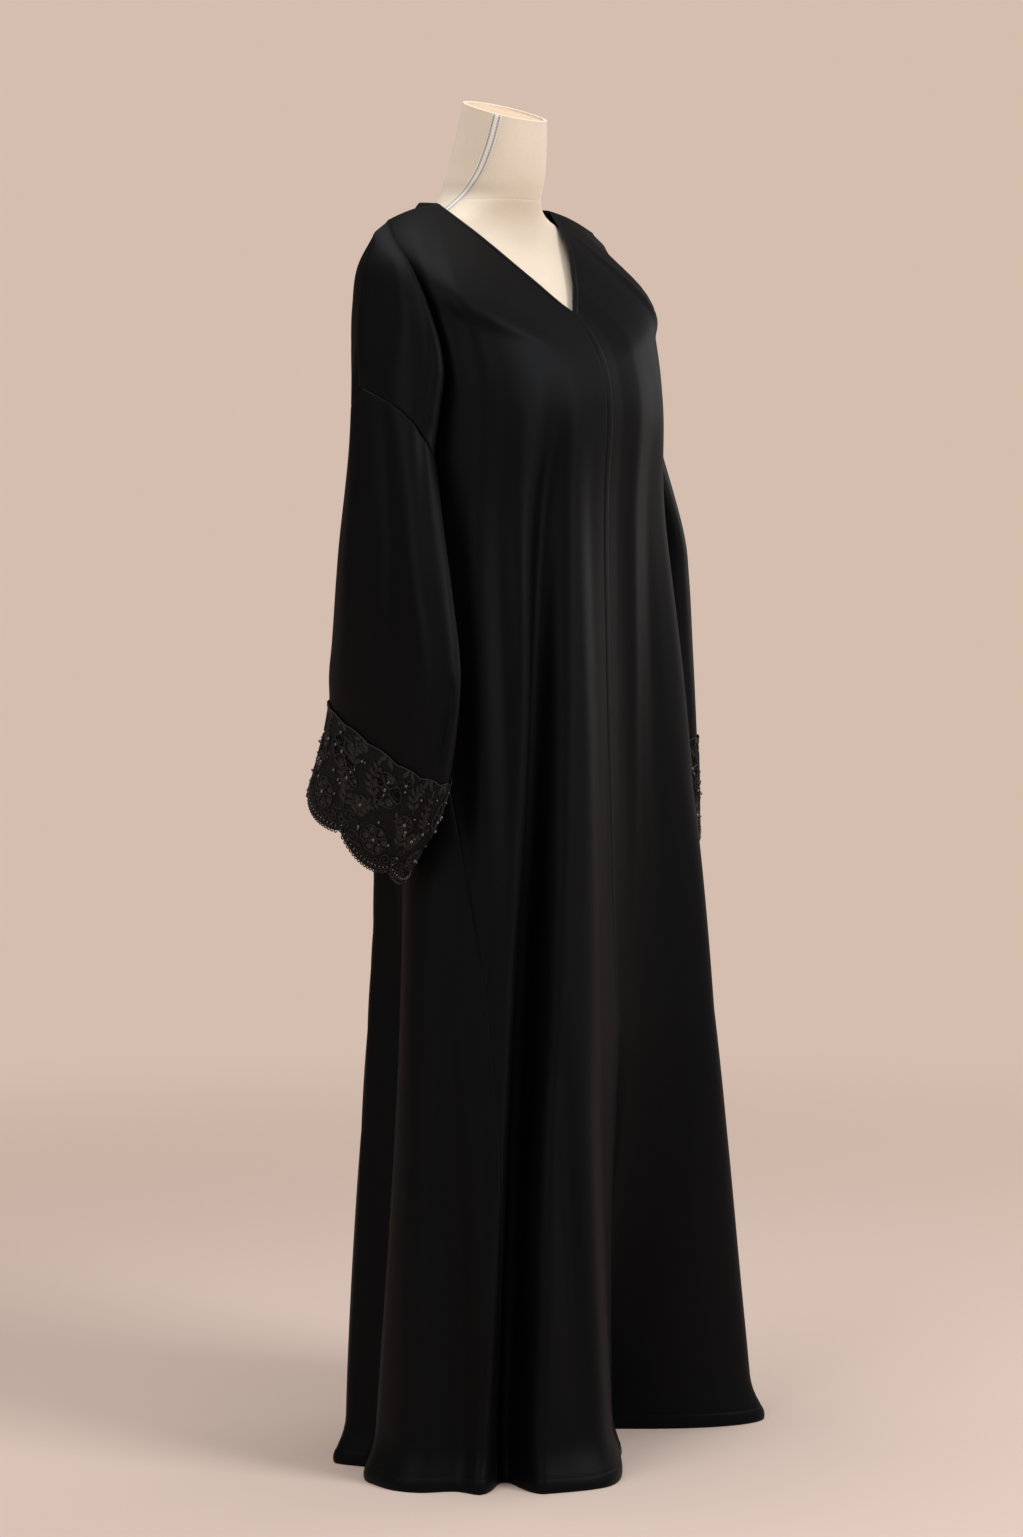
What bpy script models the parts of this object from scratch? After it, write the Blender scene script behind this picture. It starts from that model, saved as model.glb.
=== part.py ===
"""Open-front abaya with lace cuffs, worn by a limbless dress form on a round stand.

Metres, +Z up. The front faces -Y and the wearer's left is +X. The origin is on the floor,
under the middle of the stand's base.

The cloth is one surface. Its rows run round the figure at a drop below the shoulder seam, and its
columns run down it. A column's place, s, is 0 at the centre front, 1 at the side, where the body
cloth folds back from the arm cloth, and 2 at the centre back. The panels are cut from it at the
seams, and each one is a wall of its own.
"""

import math
from collections import namedtuple

import bmesh
import bpy
import numpy as np

CLOTH = 0.0013
SEAM_TRIM = 0.0002
OVERLAP_INSET = 0.0045
OVERLAP_FADE = 0.22
OVERLAP_FADE_SPAN = 0.12
RIGHT = -1
LEFT = 1

# Neckline and shoulder seam, for the wearer's left, from the hidden end of the neckline
NECK_END = (-0.034, -0.123, 1.3045)
V_POINT = (0.0, -0.113, 1.318)
NECK_LOW = (0.036, -0.075, 1.360)
NECK_HIGH = (0.071, -0.0335, 1.405)
NECK_SHOULDER = (0.0945, 0.014, 1.4440)
NAPE_SIDE = (0.062, 0.076, 1.4480)
NAPE = (0.0, 0.098, 1.4390)
ARM_FOLD_TOP = (0.174, 0.016, 1.4215)
NECKLINE_END_S = -0.15
NECK_LOW_S = 0.25
NECK_HIGH_S = 0.47
NECK_S = 0.70
NAPE_SIDE_SHARE = 0.45
SHOULDER_RISE = 0.003
S_STEP = 0.01

# Sections round the body, from the top: a squareness of 2 is an ellipse
Section = namedtuple(
    "Section",
    "name drop z_front z_side z_back half_width y_front y_front_side y_back_side y_back squareness",
)
SECTIONS = (
    Section("shoulder", 0.050, 1.292, 1.368, 1.392, 0.181, -0.137, -0.018, 0.036, 0.110, 2.05),
    Section("chest", 0.110, 1.258, 1.305, 1.320, 0.179, -0.158, -0.044, 0.038, 0.116, 1.95),
    Section("bust", 0.180, 1.212, 1.235, 1.240, 0.175, -0.168, -0.056, 0.030, 0.112, 2.10),
    Section("underbust", 0.250, 1.155, 1.165, 1.165, 0.180, -0.168, -0.036, 0.008, 0.106, 2.15),
    Section("underarm", 0.310, 1.100, 1.100, 1.100, 0.185, -0.169, -0.018, -0.018, 0.102, 2.20),
    Section("hip", 0.560, 0.850, 0.850, 0.850, 0.201, -0.190, -0.044, -0.044, 0.106, 2.30),
    Section("knee", 0.910, 0.500, 0.500, 0.500, 0.224, -0.212, -0.058, -0.058, 0.092, 2.40),
    Section("floor", 1.410, 0.000, 0.000, 0.000, 0.262, -0.254, -0.058, -0.058, 0.118, 2.40),
)
KNEE_Z = 0.50
UNDERARM_DROP = 0.310
HEM_DROP = 1.410
HEM_FLARE = 0.022
HEM_FLARE_Z = 0.055

# Folds: a positive depth goes in, a negative one out. s is negative on the wearer's right.
Fold = namedtuple("Fold", "name s_top s_hem z_top knee_depth hem_depth width")
FOLDS = (
    Fold("centre recess", 0.16, 0.27, 1.20, 0.070, 0.185, 0.50),
    Fold("right front ridge", -0.10, -0.24, 1.22, -0.006, -0.005, 0.17),
    Fold("right front recess", -0.26, -0.53, 1.24, 0.046, 0.055, 0.115),
    Fold("right side seam hollow", -0.78, -0.72, 0.95, 0.008, 0.016, 0.13),
    Fold("right side ridge", -0.95, -0.92, 0.98, -0.008, -0.010, 0.15),
    Fold("right side fold", -1.12, -1.18, 0.98, 0.026, 0.036, 0.17),
    Fold("right back fold", -1.46, -1.48, 1.05, 0.026, 0.040, 0.19),
    Fold("right nape fold", -1.80, -1.80, 1.10, 0.014, 0.022, 0.17),
    Fold("left nape fold", 1.86, 1.84, 1.08, 0.014, 0.022, 0.17),
    Fold("left back fold", 1.52, 1.50, 1.04, 0.024, 0.042, 0.18),
    Fold("left side fold", 1.18, 1.20, 1.00, 0.026, 0.046, 0.16),
    Fold("left side ridge", 0.95, 0.95, 0.90, -0.010, -0.040, 0.26),
    Fold("left front ridge", 0.60, 0.62, 1.10, -0.010, -0.046, 0.20),
)

FOLD_START_Z = 1.25
FOLD_GROWTH = 0.8

# The path of each seam and front edge over the surface, as s at a height
Path = namedtuple("Path", "z right_edge left_edge right_side left_side")
PATHS = (
    Path(0.000, -0.150, -0.040, 0.560, 0.900),
    Path(0.380, -0.060, -0.100, 0.560, 0.920),
    Path(0.500, -0.045, -0.110, 0.600, 0.930),
    Path(0.850, -0.020, -0.120, 0.850, 0.960),
    Path(1.100, -0.015, -0.120, 1.000, 1.000),
    Path(1.500, -0.015, -0.120, 1.000, 1.000),
)

# Shoulder seam past the arm fold, down the outer arm, and how far the arm cloth stands out
ArmRow = namedtuple("ArmRow", "drop x y z y_front y_back")
ARM_ROWS = {
    RIGHT: (
        ArmRow(0.000, 0.197, 0.016, 1.4040, 0.016, 0.016),
        ArmRow(0.050, 0.213, 0.014, 1.3720, -0.034, 0.036),
        ArmRow(0.110, 0.221, 0.012, 1.3320, -0.064, 0.042),
        ArmRow(0.180, 0.227, 0.008, 1.2950, -0.080, 0.042),
        ArmRow(0.250, 0.231, 0.004, 1.2630, -0.092, 0.040),
        ArmRow(0.310, 0.234, 0.000, 1.2320, -0.102, 0.040),
    ),
    LEFT: (
        ArmRow(0.000, 0.197, 0.016, 1.4040, 0.016, 0.016),
        ArmRow(0.050, 0.213, 0.016, 1.3720, -0.004, 0.038),
        ArmRow(0.110, 0.221, 0.018, 1.3320, -0.024, 0.050),
        ArmRow(0.180, 0.227, 0.018, 1.2950, -0.042, 0.060),
        ArmRow(0.250, 0.231, 0.016, 1.2630, -0.052, 0.066),
        ArmRow(0.310, 0.234, 0.014, 1.2320, -0.058, 0.070),
    ),
}

# How far the arm cloth rises, swells and drops on its way out, as shares of its width and height
FOLD_LEAN = 0.15
FOLD_FULLNESS = 1.05
FOLD_RISE = 0.30
ARM_DROOP = 0.25

# Rings of the sleeves and cuffs: the tilt lowers a ring's front
Ring = namedtuple("Ring", "drop x y z half_depth half_width tilt")
SLEEVE_RINGS = {
    RIGHT: (
        Ring(0.100, 0.232, -0.045, 1.066, 0.076, 0.028, 6.0),
        Ring(0.180, 0.238, -0.054, 1.010, 0.085, 0.031, 6.0),
        Ring(0.260, 0.245, -0.064, 0.930, 0.096, 0.031, 8.0),
        Ring(0.320, 0.248, -0.062, 0.878, 0.098, 0.031, 17.0),
        Ring(0.365, 0.250, -0.058, 0.8335, 0.098, 0.030, 27.0),
    ),
    LEFT: (
        Ring(0.100, 0.234, -0.002, 1.066, 0.068, 0.029, 0.0),
        Ring(0.180, 0.240, 0.006, 1.010, 0.078, 0.035, 2.0),
        Ring(0.260, 0.247, 0.014, 0.930, 0.088, 0.036, 6.0),
        Ring(0.320, 0.250, 0.014, 0.878, 0.092, 0.035, 10.0),
        Ring(0.365, 0.252, 0.012, 0.8335, 0.094, 0.034, 14.0),
    ),
}
CUFF_END = {
    RIGHT: Ring(0.490, 0.252, -0.008, 0.7255, 0.084, 0.029, 32.0),
    LEFT: Ring(0.490, 0.256, 0.000, 0.7150, 0.083, 0.032, 16.0),
}
RING_SQUARENESS = 2.2
SCALLOPS = 6
SCALLOP_DEPTH = 0.014
SCALLOP_ROUNDNESS = 0.6

# The dress form: the tilt leans the neck's top ring forward
FormRing = namedtuple("FormRing", "z half_width y_front y_back tilt")
FORM_RINGS = (
    FormRing(0.780, 0.120, -0.070, 0.080, 0.0),
    FormRing(0.790, 0.136, -0.080, 0.082, 0.0),
    FormRing(0.870, 0.156, -0.094, 0.088, 0.0),
    FormRing(0.960, 0.142, -0.090, 0.080, 0.0),
    FormRing(1.050, 0.118, -0.088, 0.066, 0.0),
    FormRing(1.130, 0.130, -0.104, 0.074, 0.0),
    FormRing(1.200, 0.148, -0.134, 0.088, 0.0),
    FormRing(1.250, 0.158, -0.136, 0.098, 0.0),
    FormRing(1.290, 0.162, -0.120, 0.103, 0.0),
    FormRing(1.325, 0.164, -0.096, 0.102, 0.0),
    FormRing(1.365, 0.164, -0.062, 0.096, 0.0),
    FormRing(1.390, 0.158, -0.040, 0.078, 0.0),
    FormRing(1.408, 0.140, -0.026, 0.064, 0.0),
    FormRing(1.422, 0.1125, -0.0228, 0.0665, 0.0),
    FormRing(1.434, 0.084, -0.026, 0.074, 0.0),
    FormRing(1.450, 0.062, -0.034, 0.078, 0.1),
    FormRing(1.475, 0.055, -0.045, 0.071, 0.4),
    FormRing(1.510, 0.051, -0.052, 0.060, 0.8),
    FormRing(1.553, 0.048, -0.056, 0.050, 1.0),
)
FORM_SQUARENESS = 2.15
FORM_SIDES = 28
NECK_TILT = math.radians(16.0)
CAP_RIM = 0.0040
CAP_DEPTH = 0.0045
CAP_THICKNESS = 0.0025
GAP = 0.0003

POLE_RADIUS = 0.0125
BASE_RADIUS = 0.090
BASE_THICKNESS = 0.012
BASE_BEVEL = 0.002
STAND_SIDES = 40
SHARP_ANGLE = math.radians(50.0)

# Columns and rows of the mesh
FRONT_COLUMNS = 13
SHOULDER_COLUMNS = 6
NAPE_COLUMNS = 11
ARM_COLUMNS = 8
UPPER_DROPS = (0.0, 0.025, 0.050, 0.080, 0.110, 0.145, 0.180, 0.215, 0.250, 0.280, 0.310)
LOWER_DROPS = (0.380, 0.450, 0.520, 0.600, 0.690, 0.780, 0.870, 0.960, 1.060, 1.160, 1.260)
HEM_DROPS = (1.330, 1.365, 1.390, 1.410)
SLEEVE_DROPS = (0.050, 0.100, 0.140, 0.180, 0.220, 0.260, 0.290, 0.320, 0.345, 0.365)
CUFF_ROWS = 4
CUFF_COLUMNS = 36

Finish = namedtuple("Finish", "colour roughness metallic")
CREPE = Finish((0.008, 0.008, 0.009, 1.0), 0.55, 0.0)
LACE = Finish((0.012, 0.011, 0.011, 1.0), 0.60, 0.0)
LINEN = Finish((0.76, 0.66, 0.54, 1.0), 0.80, 0.0)
CAP_CLOTH = Finish((0.60, 0.47, 0.33, 1.0), 0.80, 0.0)
PAINTED_STEEL = Finish((0.55, 0.53, 0.50, 1.0), 0.45, 0.2)


def smooth_curve(places, values, at, end_slope=None):
    """The value at one place of a smooth curve through the values."""
    places = np.asarray(places, float)
    values = np.asarray(values, float)
    slopes = np.gradient(values, places, axis=0)
    if end_slope is not None:
        slopes[-1] = end_slope
    i = int(np.clip(np.searchsorted(places, at) - 1, 0, len(places) - 2))
    span = places[i + 1] - places[i]
    f = min(max((at - places[i]) / span, 0.0), 1.0)
    rise = f * f * (3 - 2 * f)
    start = values[i] * (1 - rise) + slopes[i] * span * f * (1 - f) ** 2
    return start + values[i + 1] * rise - slopes[i + 1] * span * f * f * (1 - f)


def blend(first, second, share):
    """The point at this share of the way from the first to the second."""
    return np.asarray(first, float) * (1 - share) + np.asarray(second, float) * share


def path_value(column, z):
    """A seam's or an edge's place s at a height, which is constant above the underarm."""
    z = min(z, HEM_DROP - UNDERARM_DROP)
    value = smooth_curve([path.z for path in PATHS], [getattr(path, column) for path in PATHS], z)
    return min(round(float(value), 6), 1.0)


def top_point(s):
    """The neckline and shoulder seam, for the wearer's left."""
    if s <= NECK_S:
        places = (NECKLINE_END_S, 0.0, NECK_LOW_S, NECK_HIGH_S, NECK_S)
        return smooth_curve(places, (NECK_END, V_POINT, NECK_LOW, NECK_HIGH, NECK_SHOULDER), s)
    if s >= 2 - NECK_S:
        share = (s - (2 - NECK_S)) / NECK_S
        return smooth_curve((0.0, NAPE_SIDE_SHARE, 1.0), (NECK_SHOULDER, NAPE_SIDE, NAPE), share)
    away = 1 - abs(s - 1) / (1 - NECK_S)
    point = blend(NECK_SHOULDER, ARM_FOLD_TOP, away)
    point[2] += SHOULDER_RISE * math.sin(math.pi * away)
    return point


def section_point(section, s, back):
    """A section's point at s, for the wearer's left."""
    angle = math.radians(90) * (2 - s if back else abs(s))
    across = math.sin(angle) ** (2 / section.squareness)
    along = max(math.cos(angle), 0.0) ** (2 / section.squareness)
    side_y = section.y_back_side if back else section.y_front_side
    middle_y = section.y_back if back else section.y_front
    middle_z = section.z_back if back else section.z_front
    sign = -1 if s < 0 else 1
    x = sign * section.half_width * across
    y = side_y + (middle_y - side_y) * along
    return np.array((x, y, section.z_side + (middle_z - section.z_side) * along ** 2))


def unfolded_point(s, drop, back):
    """The body surface without its folds, for the wearer's left."""
    lower = [section for section in SECTIONS if section.drop >= UNDERARM_DROP]
    points = [section_point(section, s, back) for section in lower]
    if drop > UNDERARM_DROP:
        return smooth_curve([section.drop for section in lower], points, drop)
    slope = (points[1] - points[0]) / (lower[1].drop - lower[0].drop)
    upper = [section for section in SECTIONS if section.drop <= UNDERARM_DROP]
    places = [0.0] + [section.drop for section in upper]
    points = [top_point(s)] + [section_point(section, s, back) for section in upper]
    return smooth_curve(places, points, drop, slope)


def fold_depth(s, z):
    """How far the folds and the hem's flare carry the surface in at a signed s and a height."""
    total = -HEM_FLARE * max(1 - z / HEM_FLARE_Z, 0.0) ** 2
    for fold in FOLDS:
        if z >= fold.z_top:
            continue
        middle = fold.s_top + (fold.s_hem - fold.s_top) * (FOLD_START_Z - z) / FOLD_START_Z
        away = ((s - middle + 2) % 4 - 2) / fold.width
        if abs(away) >= 1:
            continue
        if z > KNEE_Z:
            growth = ((fold.z_top - z) / (fold.z_top - KNEE_Z)) ** FOLD_GROWTH
            depth = fold.knee_depth * growth
        else:
            depth = fold.hem_depth + (fold.knee_depth - fold.hem_depth) * z / KNEE_Z
        total += depth * math.cos(math.pi / 2 * away) ** 2
    return total


def body_point(side, s, drop, back=False, inset=0.0):
    """A point of the body cloth's outer face."""
    point = unfolded_point(s, drop, back)
    ahead = unfolded_point(min(s + S_STEP, 2.0), drop, back)
    behind = unfolded_point(s - S_STEP, drop, back)
    tangent = (ahead - behind)[:2]
    inward = np.array((-tangent[1], tangent[0])) / max(np.hypot(*tangent), 1e-9)
    if s >= 2.0:
        inward = np.array((0.0, -1.0))
    depth = fold_depth(side * s, point[2]) + inset
    return np.array((side * (point[0] + inward[0] * depth), point[1] + inward[1] * depth, point[2]))


def front_column(side, share, drop):
    """The front's point at a share of the way from its front edge to the side."""
    z = HEM_DROP - drop
    edge = path_value("right_edge" if side == RIGHT else "left_edge", z)
    seam = path_value("right_side" if side == RIGHT else "left_side", z)
    s = edge + (seam - edge) * share
    inset = 0.0
    if side == LEFT:
        inset = OVERLAP_INSET * min(max((OVERLAP_FADE - s) / OVERLAP_FADE_SPAN, 0.0), 1.0)
    return body_point(side, s, drop, False, inset)


def back_column(side, share, drop):
    """The back's point at a share of the way from the side to the centre back."""
    z = HEM_DROP - drop
    seam = path_value("right_side" if side == RIGHT else "left_side", z)
    s = seam + (2 - seam) * share
    return body_point(side, s, drop, s >= 1)


def arm_point(side, share, drop, back):
    """The arm cloth above the armhole seam, from the body fold to the shoulder seam's line."""
    rows = ARM_ROWS[side]
    places = [row.drop for row in rows]
    x, y, z, y_front, y_back = smooth_curve(places, [row[1:] for row in rows], drop)
    outer = np.array((x, y, z))
    inner = unfolded_point(1.0, drop, back)
    reach = (y_back if back else y_front) - (inner[1] + y) / 2
    inner_handle = inner + (FOLD_LEAN * (x - inner[0]), reach * FOLD_FULLNESS, FOLD_RISE * (z - inner[2]))
    outer_handle = outer + (0.0, (y_back if back else y_front) - y, -ARM_DROOP * (z - inner[2]))
    f = share
    point = (
        (1 - f) ** 3 * inner
        + 3 * f * (1 - f) ** 2 * inner_handle
        + 3 * f * f * (1 - f) * outer_handle
        + f ** 3 * outer
    )
    return point * (side, 1, 1)


def ring_point(side, ring, turn):
    """A ring's point: turn 0 is next to the body, 0.25 the front, 0.5 the outer side."""
    angle = 2 * math.pi * turn
    across = math.copysign(abs(math.cos(angle)) ** (2 / RING_SQUARENESS), math.cos(angle))
    along = math.copysign(abs(math.sin(angle)) ** (2 / RING_SQUARENESS), math.sin(angle))
    tilt = math.radians(ring.tilt)
    x = ring.x - ring.half_width * across
    y = ring.y - ring.half_depth * along * math.cos(tilt)
    return np.array((side * x, y, ring.z - ring.half_depth * along * math.sin(tilt)))


def sleeve_point(side, turn, drop):
    """A point of the sleeve's outer face, at a drop below the armhole seam."""
    share = turn * 2 if turn <= 0.5 else (1 - turn) * 2
    seam = arm_point(side, share, UNDERARM_DROP, turn > 0.5)
    rings = SLEEVE_RINGS[side] + (CUFF_END[side],)
    places = [0.0] + [ring.drop for ring in rings]
    return smooth_curve(places, [seam] + [ring_point(side, ring, turn) for ring in rings], drop)


class Surface:
    """The whole cloth as one welded surface, with its faces listed by piece."""

    def __init__(self):
        self.points = []
        self.places = {}
        self.faces = {}

    def vertex(self, point):
        """The number of the vertex at this point, made once."""
        key = tuple(np.round(point, 6))
        if key not in self.places:
            self.places[key] = len(self.points)
            self.points.append(np.asarray(point, float))
        return self.places[key]

    def add_grid(self, piece, columns, side):
        """Adds columns of points, whose faces look out when they run from the front to the back."""
        numbers = [[self.vertex(point) for point in column] for column in columns]
        for first, second in zip(numbers, numbers[1:]):
            for i in range(len(first) - 1):
                face = [first[i], first[i + 1], second[i + 1], second[i]]
                face = [n for k, n in enumerate(face) if n != face[k - 1]]
                if side == RIGHT:
                    face.reverse()
                if len(face) > 2:
                    self.faces.setdefault(piece, []).append(face)

    def face_normal(self, face):
        """A face's outward direction, as long as its area."""
        corners = [self.points[n] for n in face]
        if len(corners) == 3:
            return np.cross(corners[1] - corners[0], corners[2] - corners[0]) / 2
        return np.cross(corners[2] - corners[0], corners[3] - corners[1]) / 2

    def vertex_normals(self):
        """The outward direction at each vertex, shared by the pieces that meet there."""
        normals = np.zeros((len(self.points), 3))
        for faces in self.faces.values():
            for face in faces:
                normals[face] += self.face_normal(face)
        return normals / np.maximum(np.linalg.norm(normals, axis=1), 1e-12)[:, None]


def share_list(first, second):
    """Columns from the edge to the neck's place on the shoulder, then on to the side."""
    near = np.linspace(0.0, NECK_S, first + 1)[:-1]
    return np.concatenate((near, np.linspace(NECK_S, 1.0, second + 1)))


def body_columns(side, back):
    """The body cloth's columns on one side, in order from the front edge or the side."""
    drops = UPPER_DROPS + LOWER_DROPS + HEM_DROPS
    if back:
        shares = (1 - share_list(NAPE_COLUMNS, SHOULDER_COLUMNS))[::-1]
        return [[back_column(side, share, drop) for drop in drops] for share in shares]
    columns = []
    edge_top = path_value("right_edge" if side == RIGHT else "left_edge", HEM_DROP)
    for place in share_list(FRONT_COLUMNS, SHOULDER_COLUMNS):
        s = edge_top + (NECK_S - edge_top) * place / NECK_S if place < NECK_S else place
        share = (s - edge_top) / (1 - edge_top)
        columns.append([front_column(side, share, drop) for drop in drops])
    return columns


def arm_columns(side, back):
    """The arm cloth's columns on one side, from the body fold out to the shoulder seam's line."""
    shares = np.linspace(0.0, 1.0, ARM_COLUMNS + 1)
    return [[arm_point(side, share, drop, back) for drop in UPPER_DROPS] for share in shares]


def sleeve_columns(side):
    """The sleeve's columns once round, from the underarm over the front."""
    drops = (0.0,) + SLEEVE_DROPS
    turns = np.linspace(0.0, 1.0, 2 * ARM_COLUMNS + 1)
    return [[sleeve_point(side, turn, drop) for drop in drops] for turn in turns]


def cuff_columns(side):
    """The cuff's columns once round, with a scalloped lower edge."""
    top = SLEEVE_RINGS[side][-1].drop + GAP
    end = CUFF_END[side].drop
    columns = []
    for turn in np.linspace(0.0, 1.0, CUFF_COLUMNS + 1):
        arch = abs(math.sin(math.pi * SCALLOPS * turn)) ** SCALLOP_ROUNDNESS
        bottom = end - SCALLOP_DEPTH * (1 - arch)
        drops = np.linspace(top, bottom, CUFF_ROWS + 1)
        columns.append([sleeve_point(side, turn, drop) for drop in drops])
    return columns


def cloth_surface():
    """The abaya's whole surface."""
    surface = Surface()
    for side, name in ((RIGHT, "right"), (LEFT, "left")):
        surface.add_grid(f"front_{name}", body_columns(side, False), side)
        surface.add_grid("back", body_columns(side, True), side)
        surface.add_grid(f"front_{name}", arm_columns(side, False), side)
        surface.add_grid("back", arm_columns(side, True)[::-1], side)
        surface.add_grid(f"sleeve_{name}", sleeve_columns(side), side)
        surface.add_grid(f"cuff_{name}", cuff_columns(side), side)
    return surface


def trimmed(surface, faces):
    """A piece's points, with those on its border drawn in from the seam."""
    moves = {}
    borders = {}
    for face in faces:
        for a, b in zip(face, face[1:] + face[:1]):
            borders[(a, b)] = face
    for (a, b), face in borders.items():
        if (b, a) in borders:
            continue
        inward = np.cross(surface.face_normal(face), surface.points[b] - surface.points[a])
        inward /= max(np.linalg.norm(inward), 1e-12)
        for n in (a, b):
            moves[n] = moves.get(n, 0) + inward
    points = {n: surface.points[n].copy() for face in faces for n in face}
    for n, move in moves.items():
        points[n] += SEAM_TRIM * move / max(np.linalg.norm(move), 1e-12)
    border = [edge for edge in borders if edge[::-1] not in borders]
    return points, border


def cloth_wall(name, surface, normals, finish):
    """One piece of the cloth, as a closed wall on the inner side of the surface."""
    faces = surface.faces[name]
    points, border = trimmed(surface, faces)
    order = sorted(points)
    outer = {n: i for i, n in enumerate(order)}
    inner = {n: i + len(order) for i, n in enumerate(order)}
    coords = [points[n] for n in order] + [points[n] - CLOTH * normals[n] for n in order]
    coords = [(x, y, max(z, 0.0)) for x, y, z in coords]
    sides = [[outer[n] for n in face] for face in faces]
    sides += [[inner[n] for n in reversed(face)] for face in faces]
    sides += [[outer[b], outer[a], inner[a], inner[b]] for a, b in border]
    return mesh_object(name, coords, sides, finish)


def mesh_object(name, coords, faces, finish):
    """A mesh object with its own material, shaded smooth."""
    mesh = bpy.data.meshes.new(name)
    mesh.from_pydata([tuple(point) for point in coords], [], faces)
    body = bmesh.new()
    body.from_mesh(mesh)
    bmesh.ops.triangulate(body, faces=body.faces[:])
    body.to_mesh(mesh)
    body.free()
    mesh.shade_smooth()
    mesh.set_sharp_from_angle(angle=SHARP_ANGLE)
    obj = bpy.data.objects.new(name, mesh)
    bpy.context.collection.objects.link(obj)
    mesh.materials.append(material(name, finish))
    return obj


def material(name, finish):
    """A plain material with the finish's colour, roughness and metallic value."""
    made = bpy.data.materials.new(name)
    made.use_nodes = True
    shader = made.node_tree.nodes["Principled BSDF"]
    shader.inputs["Base Color"].default_value = finish.colour
    shader.inputs["Roughness"].default_value = finish.roughness
    shader.inputs["Metallic"].default_value = finish.metallic
    return made


def form_ring(ring, scale=1.0, lift=0.0):
    """One ring of the dress form, scaled about its middle and lifted along the neck."""
    middle = (ring.y_front + ring.y_back) / 2
    depth = (ring.y_back - ring.y_front) / 2
    points = []
    for k in range(FORM_SIDES):
        angle = 2 * math.pi * k / FORM_SIDES
        across = math.copysign(abs(math.sin(angle)) ** (2 / FORM_SQUARENESS), math.sin(angle))
        along = math.copysign(abs(math.cos(angle)) ** (2 / FORM_SQUARENESS), math.cos(angle))
        x = across * ring.half_width * scale
        y_out = along * depth * scale
        z = ring.z + math.tan(NECK_TILT * ring.tilt) * y_out + lift
        points.append((x, middle + y_out, z))
    return points


def ring_stack(name, rings, finish):
    """A closed solid through rings from the bottom up."""
    coords = [point for ring in rings for point in ring]
    sides = len(rings[0])
    faces = [list(range(sides))]
    for level in range(len(rings) - 1):
        for k in range(sides):
            low, high = level * sides, (level + 1) * sides
            nxt = (k + 1) % sides
            faces.append([low + nxt, low + k, high + k, high + nxt])
    faces.append([len(coords) - 1 - k for k in range(sides)])
    return mesh_object(name, coords, faces, finish)


def build_form():
    """The covered torso with its neck, and the cap let into the neck's top."""
    top = FORM_RINGS[-1]
    rim = 1 - CAP_RIM / top.half_width
    rings = [form_ring(ring) for ring in FORM_RINGS]
    rings += [form_ring(top, rim), form_ring(top, rim, -CAP_DEPTH)]
    ring_stack("form_torso", rings, LINEN)
    inside = rim - 2 * GAP / top.half_width
    floor = GAP - CAP_DEPTH
    cap = [form_ring(top, inside, floor), form_ring(top, inside, floor + CAP_THICKNESS)]
    ring_stack("form_neck_cap", cap, CAP_CLOTH)


def cylinder(name, radius, bottom, top, finish):
    """An upright round piece on the stand's axis."""
    mesh = bpy.data.meshes.new(name)
    body = bmesh.new()
    bmesh.ops.create_cone(
        body, cap_ends=True, segments=STAND_SIDES, radius1=radius, radius2=radius,
        depth=top - bottom,
    )
    body.to_mesh(mesh)
    body.free()
    mesh.shade_smooth()
    mesh.set_sharp_from_angle(angle=SHARP_ANGLE)
    mesh.materials.append(material(name, finish))
    obj = bpy.data.objects.new(name, mesh)
    obj.location.z = (bottom + top) / 2
    bpy.context.collection.objects.link(obj)
    return obj


def build_stand():
    """The round base on the floor and the pole up to the torso."""
    base = cylinder("form_base", BASE_RADIUS, 0.0, BASE_THICKNESS, PAINTED_STEEL)
    edge = base.modifiers.new("Edge", "BEVEL")
    edge.width = BASE_BEVEL
    edge.segments = 2
    edge.limit_method = "ANGLE"
    torso_bottom = FORM_RINGS[0].z
    cylinder("form_pole", POLE_RADIUS, BASE_THICKNESS + GAP, torso_bottom - GAP, PAINTED_STEEL)


def build_abaya():
    """The fronts, back, sleeves and cuffs."""
    surface = cloth_surface()
    normals = surface.vertex_normals()
    for side in (RIGHT, LEFT):
        normals[surface.vertex(arm_point(side, 0.0, UNDERARM_DROP, False))] = (0.0, 0.0, -1.0)
    for name in surface.faces:
        cloth_wall(name, surface, normals, LACE if name.startswith("cuff") else CREPE)


def main():
    for obj in list(bpy.data.objects):
        bpy.data.objects.remove(obj)
    build_abaya()
    build_form()
    build_stand()


main()
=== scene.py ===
"""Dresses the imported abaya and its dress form: fine draped cloth, corded lace, linen and a plain studio.

Metres, +Z up. The front of the garment faces -Y and the wearer's left is +X.

The cloth is worked out again here from the same sizes as its solids, with many more rows and columns.
A place on the body cloth is s, which is 0 at the centre front, 1 at the side and 2 at the centre back,
and a drop below the shoulder seam. A place on an arm is a turn, which is 0 next to the body, 0.25 at
the front and 0.5 at the outer side, and a reach below the shoulder seam.
"""

import logging
import math
from collections.abc import Iterable, Sequence
from dataclasses import dataclass, field
from enum import Enum
from typing import Any, NamedTuple

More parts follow.
